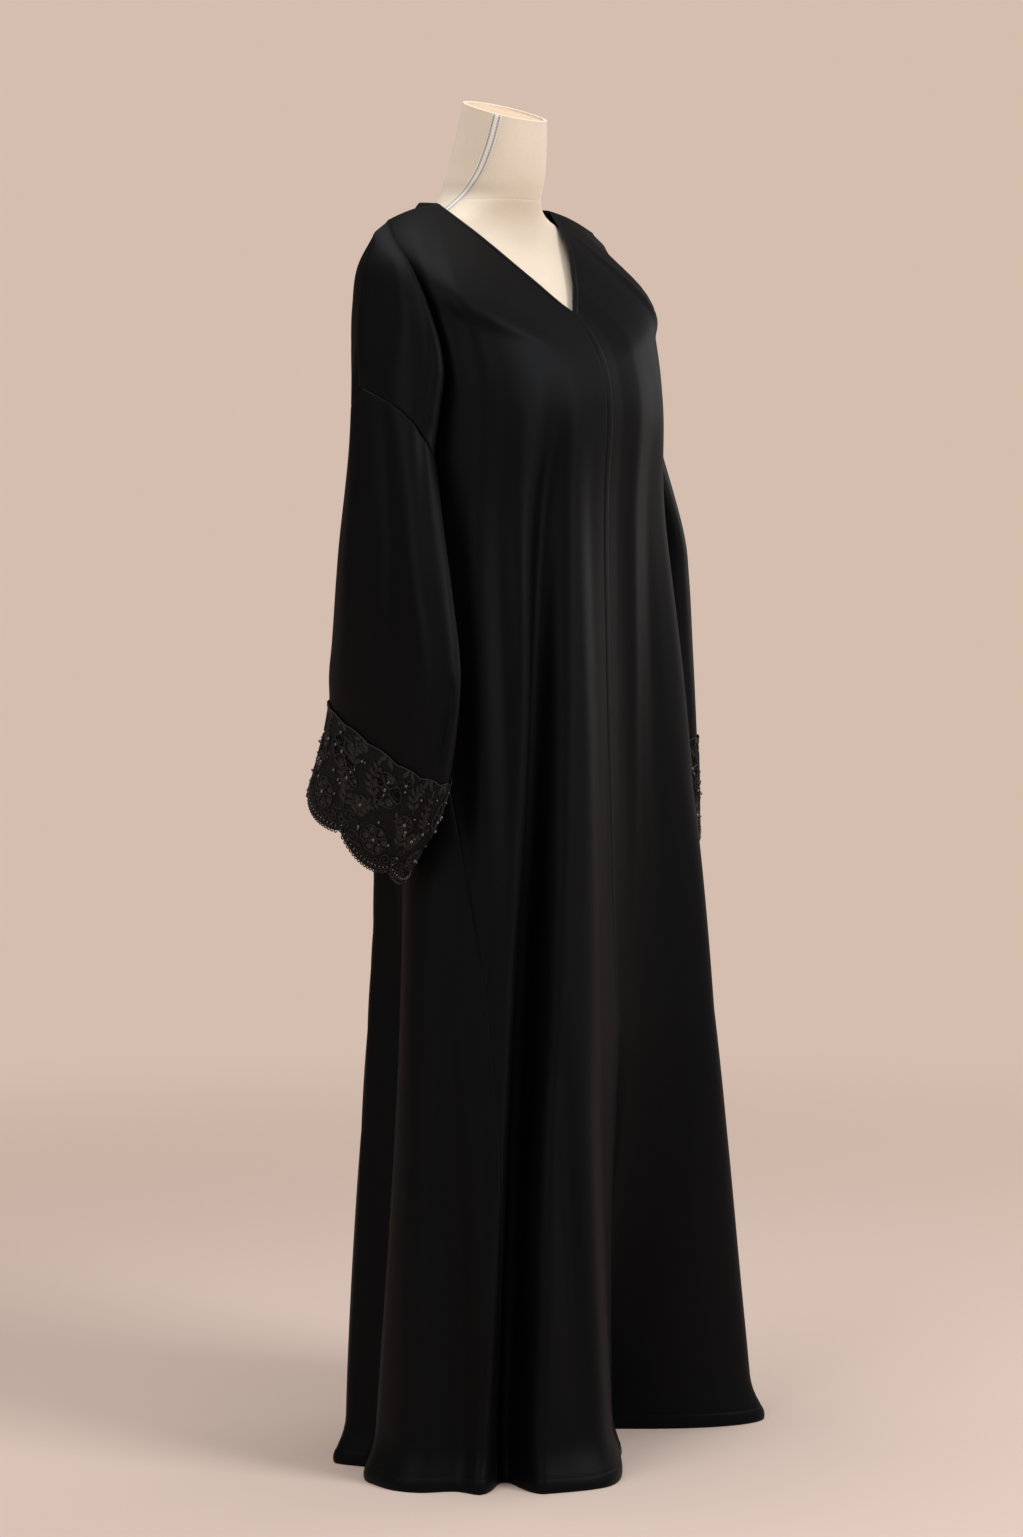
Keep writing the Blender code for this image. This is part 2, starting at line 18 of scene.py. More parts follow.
import bpy
import numpy as np
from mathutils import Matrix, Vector


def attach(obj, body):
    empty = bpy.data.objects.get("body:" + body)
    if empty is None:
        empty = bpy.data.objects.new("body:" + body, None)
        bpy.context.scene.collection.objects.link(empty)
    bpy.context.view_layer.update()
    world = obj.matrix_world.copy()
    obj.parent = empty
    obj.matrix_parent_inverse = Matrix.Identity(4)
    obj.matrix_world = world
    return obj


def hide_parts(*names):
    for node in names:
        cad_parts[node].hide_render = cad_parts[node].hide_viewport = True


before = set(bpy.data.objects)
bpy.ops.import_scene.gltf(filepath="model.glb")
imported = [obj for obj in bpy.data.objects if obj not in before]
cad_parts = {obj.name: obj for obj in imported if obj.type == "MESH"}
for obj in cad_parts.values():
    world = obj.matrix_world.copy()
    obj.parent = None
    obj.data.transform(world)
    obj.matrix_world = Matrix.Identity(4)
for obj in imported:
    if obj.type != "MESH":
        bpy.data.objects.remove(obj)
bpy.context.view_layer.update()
LOG = logging.getLogger("abaya")
Array = np.ndarray

CLOTH_THICKNESS = 0.0010
SEAM_DROP = 0.310
HEM_DROP = 1.410
FAR = 1.0


class Side(Enum):
    """The wearer's two sides, as the sign of X."""

    RIGHT = -1
    LEFT = 1

    @property
    def label(self) -> str:
        """The side's name in the nodes' names."""
        return self.name.lower()


class Section(NamedTuple):
    """A section round the body cloth."""

    drop: float
    z_front: float
    z_side: float
    z_back: float
    half_width: float
    y_front: float
    y_front_side: float
    y_back_side: float
    y_back: float
    squareness: float


class Fold(NamedTuple):
    """A large fold of the skirt: a positive depth goes in."""

    s_top: float
    s_hem: float
    z_top: float
    knee_depth: float
    hem_depth: float
    width: float


class Path(NamedTuple):
    """Where the front edges and side seams lie at a height, as s."""

    z: float
    right_edge: float
    left_edge: float
    right_side: float
    left_side: float


class ArmRow(NamedTuple):
    """The shoulder seam's line down the outer arm, and how far the arm cloth stands out."""

    drop: float
    x: float
    y: float
    z: float
    y_front: float
    y_back: float


class Ring(NamedTuple):
    """A ring of a sleeve or a cuff."""

    drop: float
    x: float
    y: float
    z: float
    half_depth: float
    half_width: float
    tilt: float


class Crease(NamedTuple):
    """A soft ridge, or a trough where the rise is negative, from one place to another."""

    across_top: float
    drop_top: float
    across_foot: float
    drop_foot: float
    rise: float
    width: float


SECTIONS = (
    Section(0.050, 1.292, 1.368, 1.392, 0.181, -0.137, -0.018, 0.036, 0.110, 2.05),
    Section(0.110, 1.258, 1.305, 1.320, 0.179, -0.158, -0.044, 0.038, 0.116, 1.95),
    Section(0.180, 1.212, 1.235, 1.240, 0.175, -0.168, -0.056, 0.030, 0.112, 2.10),
    Section(0.250, 1.155, 1.165, 1.165, 0.180, -0.168, -0.036, 0.008, 0.106, 2.15),
    Section(0.310, 1.100, 1.100, 1.100, 0.185, -0.169, -0.018, -0.018, 0.102, 2.20),
    Section(0.560, 0.850, 0.850, 0.850, 0.201, -0.190, -0.044, -0.044, 0.106, 2.30),
    Section(0.910, 0.500, 0.500, 0.500, 0.224, -0.212, -0.058, -0.058, 0.092, 2.40),
    Section(1.410, 0.000, 0.000, 0.000, 0.262, -0.254, -0.058, -0.058, 0.118, 2.40),
)
FOLDS = (
    Fold(0.16, 0.27, 1.20, 0.070, 0.185, 0.50),
    Fold(-0.10, -0.24, 1.22, -0.006, -0.005, 0.17),
    Fold(-0.26, -0.53, 1.24, 0.046, 0.055, 0.115),
    Fold(-0.78, -0.72, 0.95, 0.008, 0.016, 0.13),
    Fold(-0.95, -0.92, 0.98, -0.008, -0.010, 0.15),
    Fold(-1.12, -1.18, 0.98, 0.026, 0.036, 0.17),
    Fold(-1.46, -1.48, 1.05, 0.026, 0.040, 0.19),
    Fold(-1.80, -1.80, 1.10, 0.014, 0.022, 0.17),
    Fold(1.86, 1.84, 1.08, 0.014, 0.022, 0.17),
    Fold(1.52, 1.50, 1.04, 0.024, 0.042, 0.18),
    Fold(1.18, 1.20, 1.00, 0.026, 0.046, 0.16),
    Fold(0.95, 0.95, 0.90, -0.010, -0.040, 0.26),
    Fold(0.60, 0.62, 1.10, -0.010, -0.046, 0.20),
)
PATHS = (
    Path(0.000, -0.150, -0.040, 0.560, 0.900),
    Path(0.380, -0.060, -0.100, 0.560, 0.920),
    Path(0.500, -0.045, -0.110, 0.600, 0.930),
    Path(0.850, -0.020, -0.120, 0.850, 0.960),
    Path(1.100, -0.015, -0.120, 1.000, 1.000),
    Path(1.500, -0.015, -0.120, 1.000, 1.000),
)
ARM_ROWS = {
    Side.RIGHT: (
        ArmRow(0.000, 0.197, 0.016, 1.4040, 0.016, 0.016),
        ArmRow(0.050, 0.213, 0.014, 1.3720, -0.034, 0.036),
        ArmRow(0.110, 0.221, 0.012, 1.3320, -0.064, 0.042),
        ArmRow(0.180, 0.227, 0.008, 1.2950, -0.080, 0.042),
        ArmRow(0.250, 0.231, 0.004, 1.2630, -0.092, 0.040),
        ArmRow(0.310, 0.234, 0.000, 1.2320, -0.102, 0.040),
    ),
    Side.LEFT: (
        ArmRow(0.000, 0.197, 0.016, 1.4040, 0.016, 0.016),
        ArmRow(0.050, 0.213, 0.016, 1.3720, -0.004, 0.038),
        ArmRow(0.110, 0.221, 0.018, 1.3320, -0.024, 0.050),
        ArmRow(0.180, 0.227, 0.018, 1.2950, -0.042, 0.060),
        ArmRow(0.250, 0.231, 0.016, 1.2630, -0.052, 0.066),
        ArmRow(0.310, 0.234, 0.014, 1.2320, -0.058, 0.070),
    ),
}
SLEEVE_RINGS = {
    Side.RIGHT: (
        Ring(0.100, 0.232, -0.045, 1.066, 0.076, 0.028, 6.0),
        Ring(0.180, 0.238, -0.054, 1.010, 0.085, 0.031, 6.0),
        Ring(0.260, 0.245, -0.064, 0.930, 0.096, 0.031, 8.0),
        Ring(0.320, 0.248, -0.062, 0.878, 0.098, 0.031, 17.0),
        Ring(0.365, 0.250, -0.058, 0.8335, 0.098, 0.030, 27.0),
        Ring(0.490, 0.252, -0.008, 0.7255, 0.084, 0.029, 32.0),
    ),
    Side.LEFT: (
        Ring(0.100, 0.234, -0.002, 1.066, 0.068, 0.029, 0.0),
        Ring(0.180, 0.240, 0.006, 1.010, 0.078, 0.035, 2.0),
        Ring(0.260, 0.247, 0.014, 0.930, 0.088, 0.036, 6.0),
        Ring(0.320, 0.250, 0.014, 0.878, 0.092, 0.035, 10.0),
        Ring(0.365, 0.252, 0.012, 0.8335, 0.094, 0.034, 14.0),
        Ring(0.490, 0.256, 0.000, 0.7150, 0.083, 0.032, 16.0),
    ),
}

# Creases of the body cloth: across is s, negative on the wearer's right
BODY_CREASES = (
    Crease(-0.870, 0.015, -0.800, 0.200, 0.0030, 0.070),
    Crease(-0.700, 0.020, -0.640, 0.300, 0.0025, 0.085),
    Crease(-0.640, 0.200, -0.640, 0.780, 0.0045, 0.080),
    Crease(-0.520, 0.230, -0.520, 0.860, -0.0040, 0.070),
    Crease(-0.440, 0.180, -0.430, 0.900, 0.0050, 0.065),
    Crease(-0.190, 0.130, -0.110, 1.000, 0.0030, 0.070),
    Crease(-0.270, 0.190, -0.540, 1.500, -0.0130, 0.055),
    Crease(-0.085, 0.220, -0.050, 1.100, -0.0022, 0.040),
    Crease(-0.830, 0.560, -0.640, 1.300, 0.0060, 0.075),
    Crease(-0.360, 0.950, -0.400, 1.400, 0.0070, 0.070),
    Crease(-0.300, 0.900, -0.270, 1.380, -0.0060, 0.050),
    Crease(0.420, 0.080, 0.640, 0.640, 0.0045, 0.090),
    Crease(0.330, 0.200, 0.420, 0.900, -0.0035, 0.070),
    Crease(0.640, 0.640, 0.560, 1.250, 0.0060, 0.100),
    Crease(0.200, 0.160, 0.240, 0.800, 0.0030, 0.060),
    Crease(0.780, 0.300, 0.800, 1.150, -0.0050, 0.070),
    Crease(0.640, 0.006, 0.520, 0.110, 0.0026, 0.045),
    Crease(0.800, 0.040, 0.700, 0.200, 0.0022, 0.060),
    Crease(1.300, 0.060, 1.360, 0.640, 0.0045, 0.110),
    Crease(1.640, 0.080, 1.680, 0.720, 0.0040, 0.100),
    Crease(1.460, 0.120, 1.440, 0.500, -0.0030, 0.080),
    Crease(-1.320, 0.060, -1.300, 0.600, 0.0045, 0.110),
    Crease(-1.660, 0.090, -1.640, 0.780, 0.0040, 0.100),
    Crease(-1.480, 0.140, -1.460, 0.440, -0.0030, 0.080),
    Crease(-1.900, 0.300, -1.940, 1.100, 0.0035, 0.090),
    Crease(-1.320, 0.800, -1.340, 1.390, 0.0070, 0.090),
    Crease(1.340, 0.760, 1.360, 1.390, 0.0060, 0.090),
    Crease(1.680, 0.860, 1.700, 1.400, 0.0060, 0.090),
    Crease(-1.640, 0.900, -1.660, 1.400, 0.0060, 0.090),
)

# Creases of the arms and sleeves: across is the turn and the drop is the reach
ARM_CREASES = {
    Side.RIGHT: (
        Crease(0.300, 0.030, 0.420, 0.330, 0.0035, 0.045),
        Crease(0.215, 0.060, 0.330, 0.420, -0.0030, 0.040),
        Crease(0.150, 0.120, 0.250, 0.560, 0.0035, 0.050),
        Crease(0.480, 0.040, 0.520, 0.300, 0.0025, 0.035),
        Crease(0.440, 0.280, 0.470, 0.620, -0.0030, 0.030),
        Crease(0.380, 0.300, 0.370, 0.670, 0.0035, 0.045),
        Crease(0.285, 0.575, 0.325, 0.672, -0.0055, 0.030),
        Crease(0.240, 0.560, 0.285, 0.672, 0.0030, 0.035),
        Crease(0.560, 0.200, 0.600, 0.640, 0.0030, 0.050),
        Crease(0.700, 0.160, 0.720, 0.600, -0.0030, 0.050),
        Crease(0.880, 0.330, 0.860, 0.640, 0.0025, 0.060),
        Crease(0.080, 0.340, 0.100, 0.620, 0.0025, 0.050),
    ),
    Side.LEFT: (
        Crease(0.320, 0.040, 0.400, 0.360, 0.0030, 0.050),
        Crease(0.200, 0.090, 0.260, 0.560, 0.0030, 0.050),
        Crease(0.440, 0.220, 0.420, 0.640, -0.0030, 0.040),
        Crease(0.360, 0.300, 0.340, 0.660, 0.0032, 0.045),
        Crease(0.560, 0.120, 0.590, 0.600, 0.0034, 0.050),
        Crease(0.690, 0.160, 0.700, 0.640, -0.0035, 0.045),
        Crease(0.800, 0.240, 0.780, 0.640, 0.0030, 0.050),
        Crease(0.920, 0.340, 0.900, 0.620, 0.0025, 0.050),
        Crease(0.090, 0.340, 0.110, 0.640, -0.0025, 0.050),
    ),
}


def clear_selection() -> None:
    """Deselects every object."""
    bpy.ops.object.select_all(action="DESELECT")


def choose(obj: bpy.types.Object) -> None:
    """Selects one object alone and makes it active.

    Args:
        obj: the object to select.
    """
    clear_selection()
    obj.select_set(True)
    bpy.context.view_layer.objects.active = obj


def smooth_curve(
    places: Sequence[float],
    values: Array | Sequence[Any],
    at: Array,
    end_slope: Array | None = None,
    own: bool = False,
) -> Array:
    """The values of a smooth curve at many places.

    Args:
        places: where the values lie, rising.
        values: the values, a row for each place.
        at: the places that are asked for.
        end_slope: the slope at the last place, if it is set.
        own: whether each place that is asked for has values of its own, on the second axis.

    Returns:
        One row for each place that is asked for.
    """
    knots = np.asarray(places, float)
    table = np.asarray(values, float)
    slopes = np.gradient(table, knots, axis=0)
    if end_slope is not None:
        slopes[-1] = end_slope
    i = np.clip(np.searchsorted(knots, at) - 1, 0, len(knots) - 2)
    span = knots[i + 1] - knots[i]
    f = np.clip((at - knots[i]) / span, 0.0, 1.0)
    pick = (i, np.arange(len(at))) if own else (i,)
    after = (i + 1, np.arange(len(at))) if own else (i + 1,)
    if table.ndim > 1:
        f, span = f[:, None], span[:, None]
    rise = f * f * (3 - 2 * f)
    start = table[pick] * (1 - rise) + slopes[pick] * span * f * (1 - f) ** 2
    return start + table[after] * rise - slopes[after] * span * f * f * (1 - f)


def swell(crease: Crease, across: Array, drop: Array, period: float) -> Array:
    """How far a crease lifts the cloth.

    Args:
        crease: the crease.
        across: the places across the cloth.
        drop: the places down it.
        period: the width after which across repeats.

    Returns:
        The lift at each place, in metres.
    """
    along = (drop - crease.drop_top) / (crease.drop_foot - crease.drop_top)
    middle = crease.across_top + (crease.across_foot - crease.across_top) * np.clip(along, 0, 1)
    away = (across - middle + period / 2) % period - period / 2
    body = np.exp(-((away / crease.width) ** 2) * 1.6)
    ends = np.sin(np.pi * np.clip(along, 0, 1)) ** 0.8
    return crease.rise * body * ends


@dataclass(frozen=True)
class Drape:
    """The draped surface of the whole garment, with its sizes."""

    overlap_inset: float = 0.0045
    overlap_fade: float = 0.22
    overlap_fade_span: float = 0.12
    neck_s: float = 0.70
    neckline_places: tuple[float, ...] = (-0.15, 0.0, 0.25, 0.47, 0.70)
    neckline: tuple[tuple[float, float, float], ...] = (
        (-0.034, -0.123, 1.3045),
        (0.0, -0.113, 1.318),
        (0.036, -0.075, 1.360),
        (0.071, -0.0335, 1.405),
        (0.0945, 0.014, 1.4440),
    )
    nape: tuple[tuple[float, float, float], ...] = (
        (0.0945, 0.014, 1.4440),
        (0.062, 0.076, 1.4480),
        (0.0, 0.098, 1.4390),
    )
    nape_places: tuple[float, ...] = (0.0, 0.45, 1.0)
    arm_fold_top: tuple[float, float, float] = (0.174, 0.016, 1.4215)
    shoulder_rise: float = 0.003
    hem_flare: float = 0.022
    hem_flare_z: float = 0.055
    hem_roll: float = 0.45
    hem_roll_z: float = 0.022
    knee_z: float = 0.50
    fold_start_z: float = 1.25
    fold_growth: float = 0.8
    fold_lean: float = 0.15
    fold_fullness: float = 1.05
    fold_rise: float = 0.30
    arm_droop: float = 0.25
    ring_squareness: float = 2.2
    s_step: float = 0.01

    def path(self, column: str, z: Array) -> Array:
        """A seam's or an edge's place s at each height.

        Args:
            column: the name of the column in the table of paths.
            z: the heights.

        Returns:
            The places, constant above the underarm.
        """
        heights = np.minimum(z, HEM_DROP - SEAM_DROP)
        values = [getattr(row, column) for row in PATHS]
        return np.minimum(smooth_curve([row.z for row in PATHS], values, heights), 1.0)

    def top(self, s: Array) -> Array:
        """The neckline and shoulder seam, for the wearer's left, at each s."""
        front = smooth_curve(self.neckline_places, self.neckline, s)
        share = (s - (2 - self.neck_s)) / self.neck_s
        back = smooth_curve(self.nape_places, self.nape, share)
        away = np.clip(1 - np.abs(s - 1) / (1 - self.neck_s), 0, 1)[:, None]
        seam = np.array(self.neckline[-1]) * (1 - away) + np.array(self.arm_fold_top) * away
        seam[:, 2] += self.shoulder_rise * np.sin(math.pi * away[:, 0])
        return np.where((s <= self.neck_s)[:, None], front, np.where((share >= 0)[:, None], back, seam))

    def section(self, row: Section, s: Array, back: Array) -> Array:
        """A section's points, for the wearer's left.

        Args:
            row: the section.
            s: the places round it.
            back: whether each place is on the back.

        Returns:
            A point for each place.
        """
        angle = math.pi / 2 * np.where(back, 2 - s, np.abs(s))
        across = np.clip(np.sin(angle), 0, None) ** (2 / row.squareness)
        along = np.clip(np.cos(angle), 0, None) ** (2 / row.squareness)
        side_y = np.where(back, row.y_back_side, row.y_front_side)
        middle_y = np.where(back, row.y_back, row.y_front)
        middle_z = np.where(back, row.z_back, row.z_front)
        x = np.where(s < 0, -1, 1) * row.half_width * across
        y = side_y + (middle_y - side_y) * along
        return np.stack([x, y, row.z_side + (middle_z - row.z_side) * along**2], axis=1)

    def unfolded(self, s: Array, drop: Array, back: Array) -> Array:
        """The body surface without its folds, for the wearer's left, at each place."""
        lower = [row for row in SECTIONS if row.drop >= SEAM_DROP]
        upper = [row for row in SECTIONS if row.drop <= SEAM_DROP]
        low = np.stack([self.section(row, s, back) for row in lower])
        high = np.stack([self.top(s)] + [self.section(row, s, back) for row in upper])
        slope = (low[1] - low[0]) / (lower[1].drop - lower[0].drop)
        under = smooth_curve([row.drop for row in lower], low, drop, own=True)
        over = smooth_curve([0.0] + [row.drop for row in upper], high, drop, slope, own=True)
        return np.where((drop > SEAM_DROP)[:, None], under, over)

    def fold_depth(self, s: Array, z: Array) -> Array:
        """How far the folds and the hem's flare carry the surface in, at a signed s and a height."""
        roll = 1 - self.hem_roll * np.clip(1 - z / self.hem_roll_z, 0, None) ** 2
        total = -self.hem_flare * np.clip(1 - z / self.hem_flare_z, 0, None) ** 2 * roll
        for fold in FOLDS:
            move = (fold.s_hem - fold.s_top) * (self.fold_start_z - z) / self.fold_start_z
            away = ((s - fold.s_top - move + 2) % 4 - 2) / fold.width
            rise = np.clip((fold.z_top - z) / (fold.z_top - self.knee_z), 0, None)
            high = fold.knee_depth * rise**self.fold_growth
            low = fold.hem_depth + (fold.knee_depth - fold.hem_depth) * z / self.knee_z
            depth = np.where(z > self.knee_z, high, low)
            inside = (np.abs(away) < 1) & (z < fold.z_top)
            total += np.where(inside, depth * np.cos(math.pi / 2 * away) ** 2, 0.0)
        return total

    def body(self, side: Side, s: Array, drop: Array, back: Array, inset: Array) -> Array:
        """The body cloth's outer face.

        Args:
            side: the wearer's side.
            s: the places round the body.
            drop: the places down it.
            back: whether each place is on the back.
            inset: how much further in each place lies.

        Returns:
            A point for each place.
        """
        point = self.unfolded(s, drop, back)
        ahead = self.unfolded(np.minimum(s + self.s_step, 2.0), drop, back)
        tangent = (ahead - self.unfolded(s - self.s_step, drop, back))[:, :2]
        length = np.maximum(np.hypot(tangent[:, 0], tangent[:, 1]), 1e-9)
        inward = np.stack([-tangent[:, 1], tangent[:, 0]], axis=1) / length[:, None]
        inward[s >= 2.0] = (0.0, -1.0)
        depth = self.fold_depth(side.value * s, point[:, 2]) + inset
        x = side.value * (point[:, 0] + inward[:, 0] * depth)
        return np.stack([x, point[:, 1] + inward[:, 1] * depth, point[:, 2]], axis=1)

    def arm(self, side: Side, share: Array, drop: Array, back: Array) -> Array:
        """The arm cloth above the armhole seam.

        Args:
            side: the wearer's side.
            share: how far each place is from the body fold to the shoulder seam's line.
            drop: the places down the arm.
            back: whether each place is on the back.

        Returns:
            A point for each place.
        """
        rows = ARM_ROWS[side]
        table = smooth_curve([row.drop for row in rows], [row[1:] for row in rows], drop)
        outer = table[:, :3]
        stand = np.where(back, table[:, 4], table[:, 3])
        inner = self.unfolded(np.ones(len(share)), drop, back)
        reach = stand - (inner[:, 1] + outer[:, 1]) / 2
        lean = self.fold_lean * (outer[:, 0] - inner[:, 0])
        height = outer[:, 2] - inner[:, 2]
        inner_handle = inner + np.stack([lean, reach * self.fold_fullness, self.fold_rise * height], axis=1)
        sag = np.stack([np.zeros(len(share)), stand - outer[:, 1], -self.arm_droop * height], axis=1)
        f = share[:, None]
        point = (1 - f) ** 3 * inner + 3 * f * (1 - f) ** 2 * inner_handle
        point += 3 * f * f * (1 - f) * (outer + sag) + f**3 * outer
        return point * (side.value, 1, 1)

    def ring(self, side: Side, ring: Ring, turn: Array) -> Array:
        """A ring's points at each turn."""
        angle = 2 * math.pi * turn
        power = 2 / self.ring_squareness
        across = np.sign(np.cos(angle)) * np.abs(np.cos(angle)) ** power
        along = np.sign(np.sin(angle)) * np.abs(np.sin(angle)) ** power
        tilt = math.radians(ring.tilt)
        x = side.value * (ring.x - ring.half_width * across)
        y = ring.y - ring.half_depth * along * math.cos(tilt)
        return np.stack([x, y, ring.z - ring.half_depth * along * math.sin(tilt)], axis=1)

    def sleeve(self, side: Side, turn: Array, drop: Array) -> Array:
        """The sleeve's and cuff's outer face, at a drop below the armhole seam."""
        share = np.where(turn <= 0.5, turn * 2, (1 - turn) * 2)
        seam = self.arm(side, share, np.full(len(turn), SEAM_DROP), turn > 0.5)
        rings = SLEEVE_RINGS[side]
        table = np.stack([seam] + [self.ring(side, ring, turn) for ring in rings])
        return smooth_curve([0.0] + [ring.drop for ring in rings], table, drop, own=True)


def grid_normals(points: Array, side: Side) -> Array:
    """The outward direction at each point of a grid of columns and rows."""
    columns = np.gradient(points, axis=0)
    rows = np.gradient(points, axis=1)
    normals = side.value * np.cross(rows, columns)
    return normals / np.maximum(np.linalg.norm(normals, axis=2), 1e-12)[:, :, None]


def arc_length(points: Array, axis: int) -> Array:
    """The length walked along an axis of a grid, from its first row or column."""
    steps = np.linalg.norm(np.diff(points, axis=axis), axis=2)
    zero = np.zeros_like(np.take(steps, [0], axis=axis))
    return np.cumsum(np.concatenate([zero, steps], axis=axis), axis=axis)


@dataclass
class Grid:
    """One grid of a panel's surface, with its maps in metres."""

    points: Array
    side: Side
    cloth: Array
    lines: Array
    hem: Array

    @staticmethod
    def measured(points: Array, side: Side, start: Array | float = 0.0) -> "Grid":
        """A grid whose cloth map is its own arc lengths, with no stitched lines yet.

        Args:
            points: the points, by column and row.
            side: the wearer's side.
            start: what each row has measured before its first column.

        Returns:
            The grid.
        """
        across = arc_length(points, 0) + start
        down = arc_length(points, 1)
        far = np.full(across.shape + (2,), FAR)
        return Grid(points, side, np.stack([across, down], axis=2), far, far.copy())

    def lift(self, height: Array) -> None:
        """Moves each point out by a height."""
        self.points = self.points + grid_normals(self.points, self.side) * height[:, :, None]


def panel_object(name: str, grids: Sequence[Grid], finish: bpy.types.Material) -> bpy.types.Object:
    """One welded sheet from grids that share their borders.

    Args:
        name: the piece's name.
        grids: the grids.
        finish: the piece's material.

    Returns:
        The new object, with the maps Cloth, Lines and Hem.
    """
    flat = np.concatenate([grid.points.reshape(-1, 3) for grid in grids])
    _, first, index = np.unique(np.round(flat, 6), axis=0, return_index=True, return_inverse=True)
    index = index.reshape(-1)
    corners: list[Array] = []
    maps: dict[str, list[Array]] = {"Cloth": [], "Lines": [], "Hem": []}
    base = 0
    for grid in grids:
        columns, rows = grid.points.shape[:2]
        numbers = base + np.arange(columns * rows).reshape(columns, rows)
        base += columns * rows
        faces = np.stack([numbers[:-1, :-1], numbers[:-1, 1:], numbers[1:, 1:], numbers[1:, :-1]], axis=2)
        faces = faces.reshape(-1, 4)
        if grid.side is Side.RIGHT:
            faces = faces[:, ::-1]
        corners.append(faces)
        start = base - columns * rows
        for key, values in (("Cloth", grid.cloth), ("Lines", grid.lines), ("Hem", grid.hem)):
            maps[key].append(values.reshape(-1, 2)[faces - start])
    faces = np.concatenate(corners)
    joined = {key: np.concatenate(values) for key, values in maps.items()}
    polygons: list[list[int]] = []
    loops: dict[str, list[Array]] = {key: [] for key in joined}
    for k, face in enumerate(index[faces]):
        keep = [i for i in range(4) if face[i] != face[i - 1]]
        if len(keep) < 3 or len(set(face[keep])) < len(keep):
            continue
        polygons.append([int(face[i]) for i in keep])
        for key, values in joined.items():
            loops[key].append(values[k][keep])
    mesh = bpy.data.meshes.new(name)
    mesh.from_pydata(flat[first].tolist(), [], polygons)
    for key, values in loops.items():
        layer = mesh.uv_layers.new(name=key)
        layer.data.foreach_set("uv", np.concatenate(values).astype(np.float32).ravel())
    mesh.shade_smooth()
    mesh.materials.append(finish)
    obj = bpy.data.objects.new(name, mesh)
    bpy.context.scene.collection.objects.link(obj)
    return obj


def thicken(obj: bpy.types.Object, thickness: float) -> None:
    """Gives a sheet its thickness on the inner side.

    Args:
        obj: the sheet.
        thickness: in metres.
    """
    choose(obj)
    wall = obj.modifiers.new("Thickness", "SOLIDIFY")
    wall.thickness = thickness
    wall.offset = -1.0
    bpy.ops.object.modifier_apply(modifier=wall.name)


def sheet_area(obj: bpy.types.Object) -> float:
    """The area of a single sheet, in square metres."""
    return float(sum(face.area for face in obj.data.polygons))


class Value:
    """A shader socket that can stand in a sum."""

    def __init__(self, net: "Net", socket: bpy.types.NodeSocket) -> None:
        """Keeps the socket and the material it belongs to."""
        self.net = net
        self.socket = socket

    def __add__(self, other: "Value | float") -> "Value":
        """Adds."""
        return self.net.math("ADD", self, other)

    def __sub__(self, other: "Value | float") -> "Value":
        """Subtracts."""
        return self.net.math("SUBTRACT", self, other)

    def __mul__(self, other: "Value | float") -> "Value":
        """Multiplies."""
        return self.net.math("MULTIPLY", self, other)

    def __truediv__(self, other: "Value | float") -> "Value":
        """Divides."""
        return self.net.math("DIVIDE", self, other)

    def __rsub__(self, other: float) -> "Value":
        """Subtracts this from a number."""
        return self.net.math("SUBTRACT", other, self)

    def __abs__(self) -> "Value":
        """The size without the sign."""
        return self.net.math("ABSOLUTE", self)

    __radd__ = __add__
    __rmul__ = __mul__


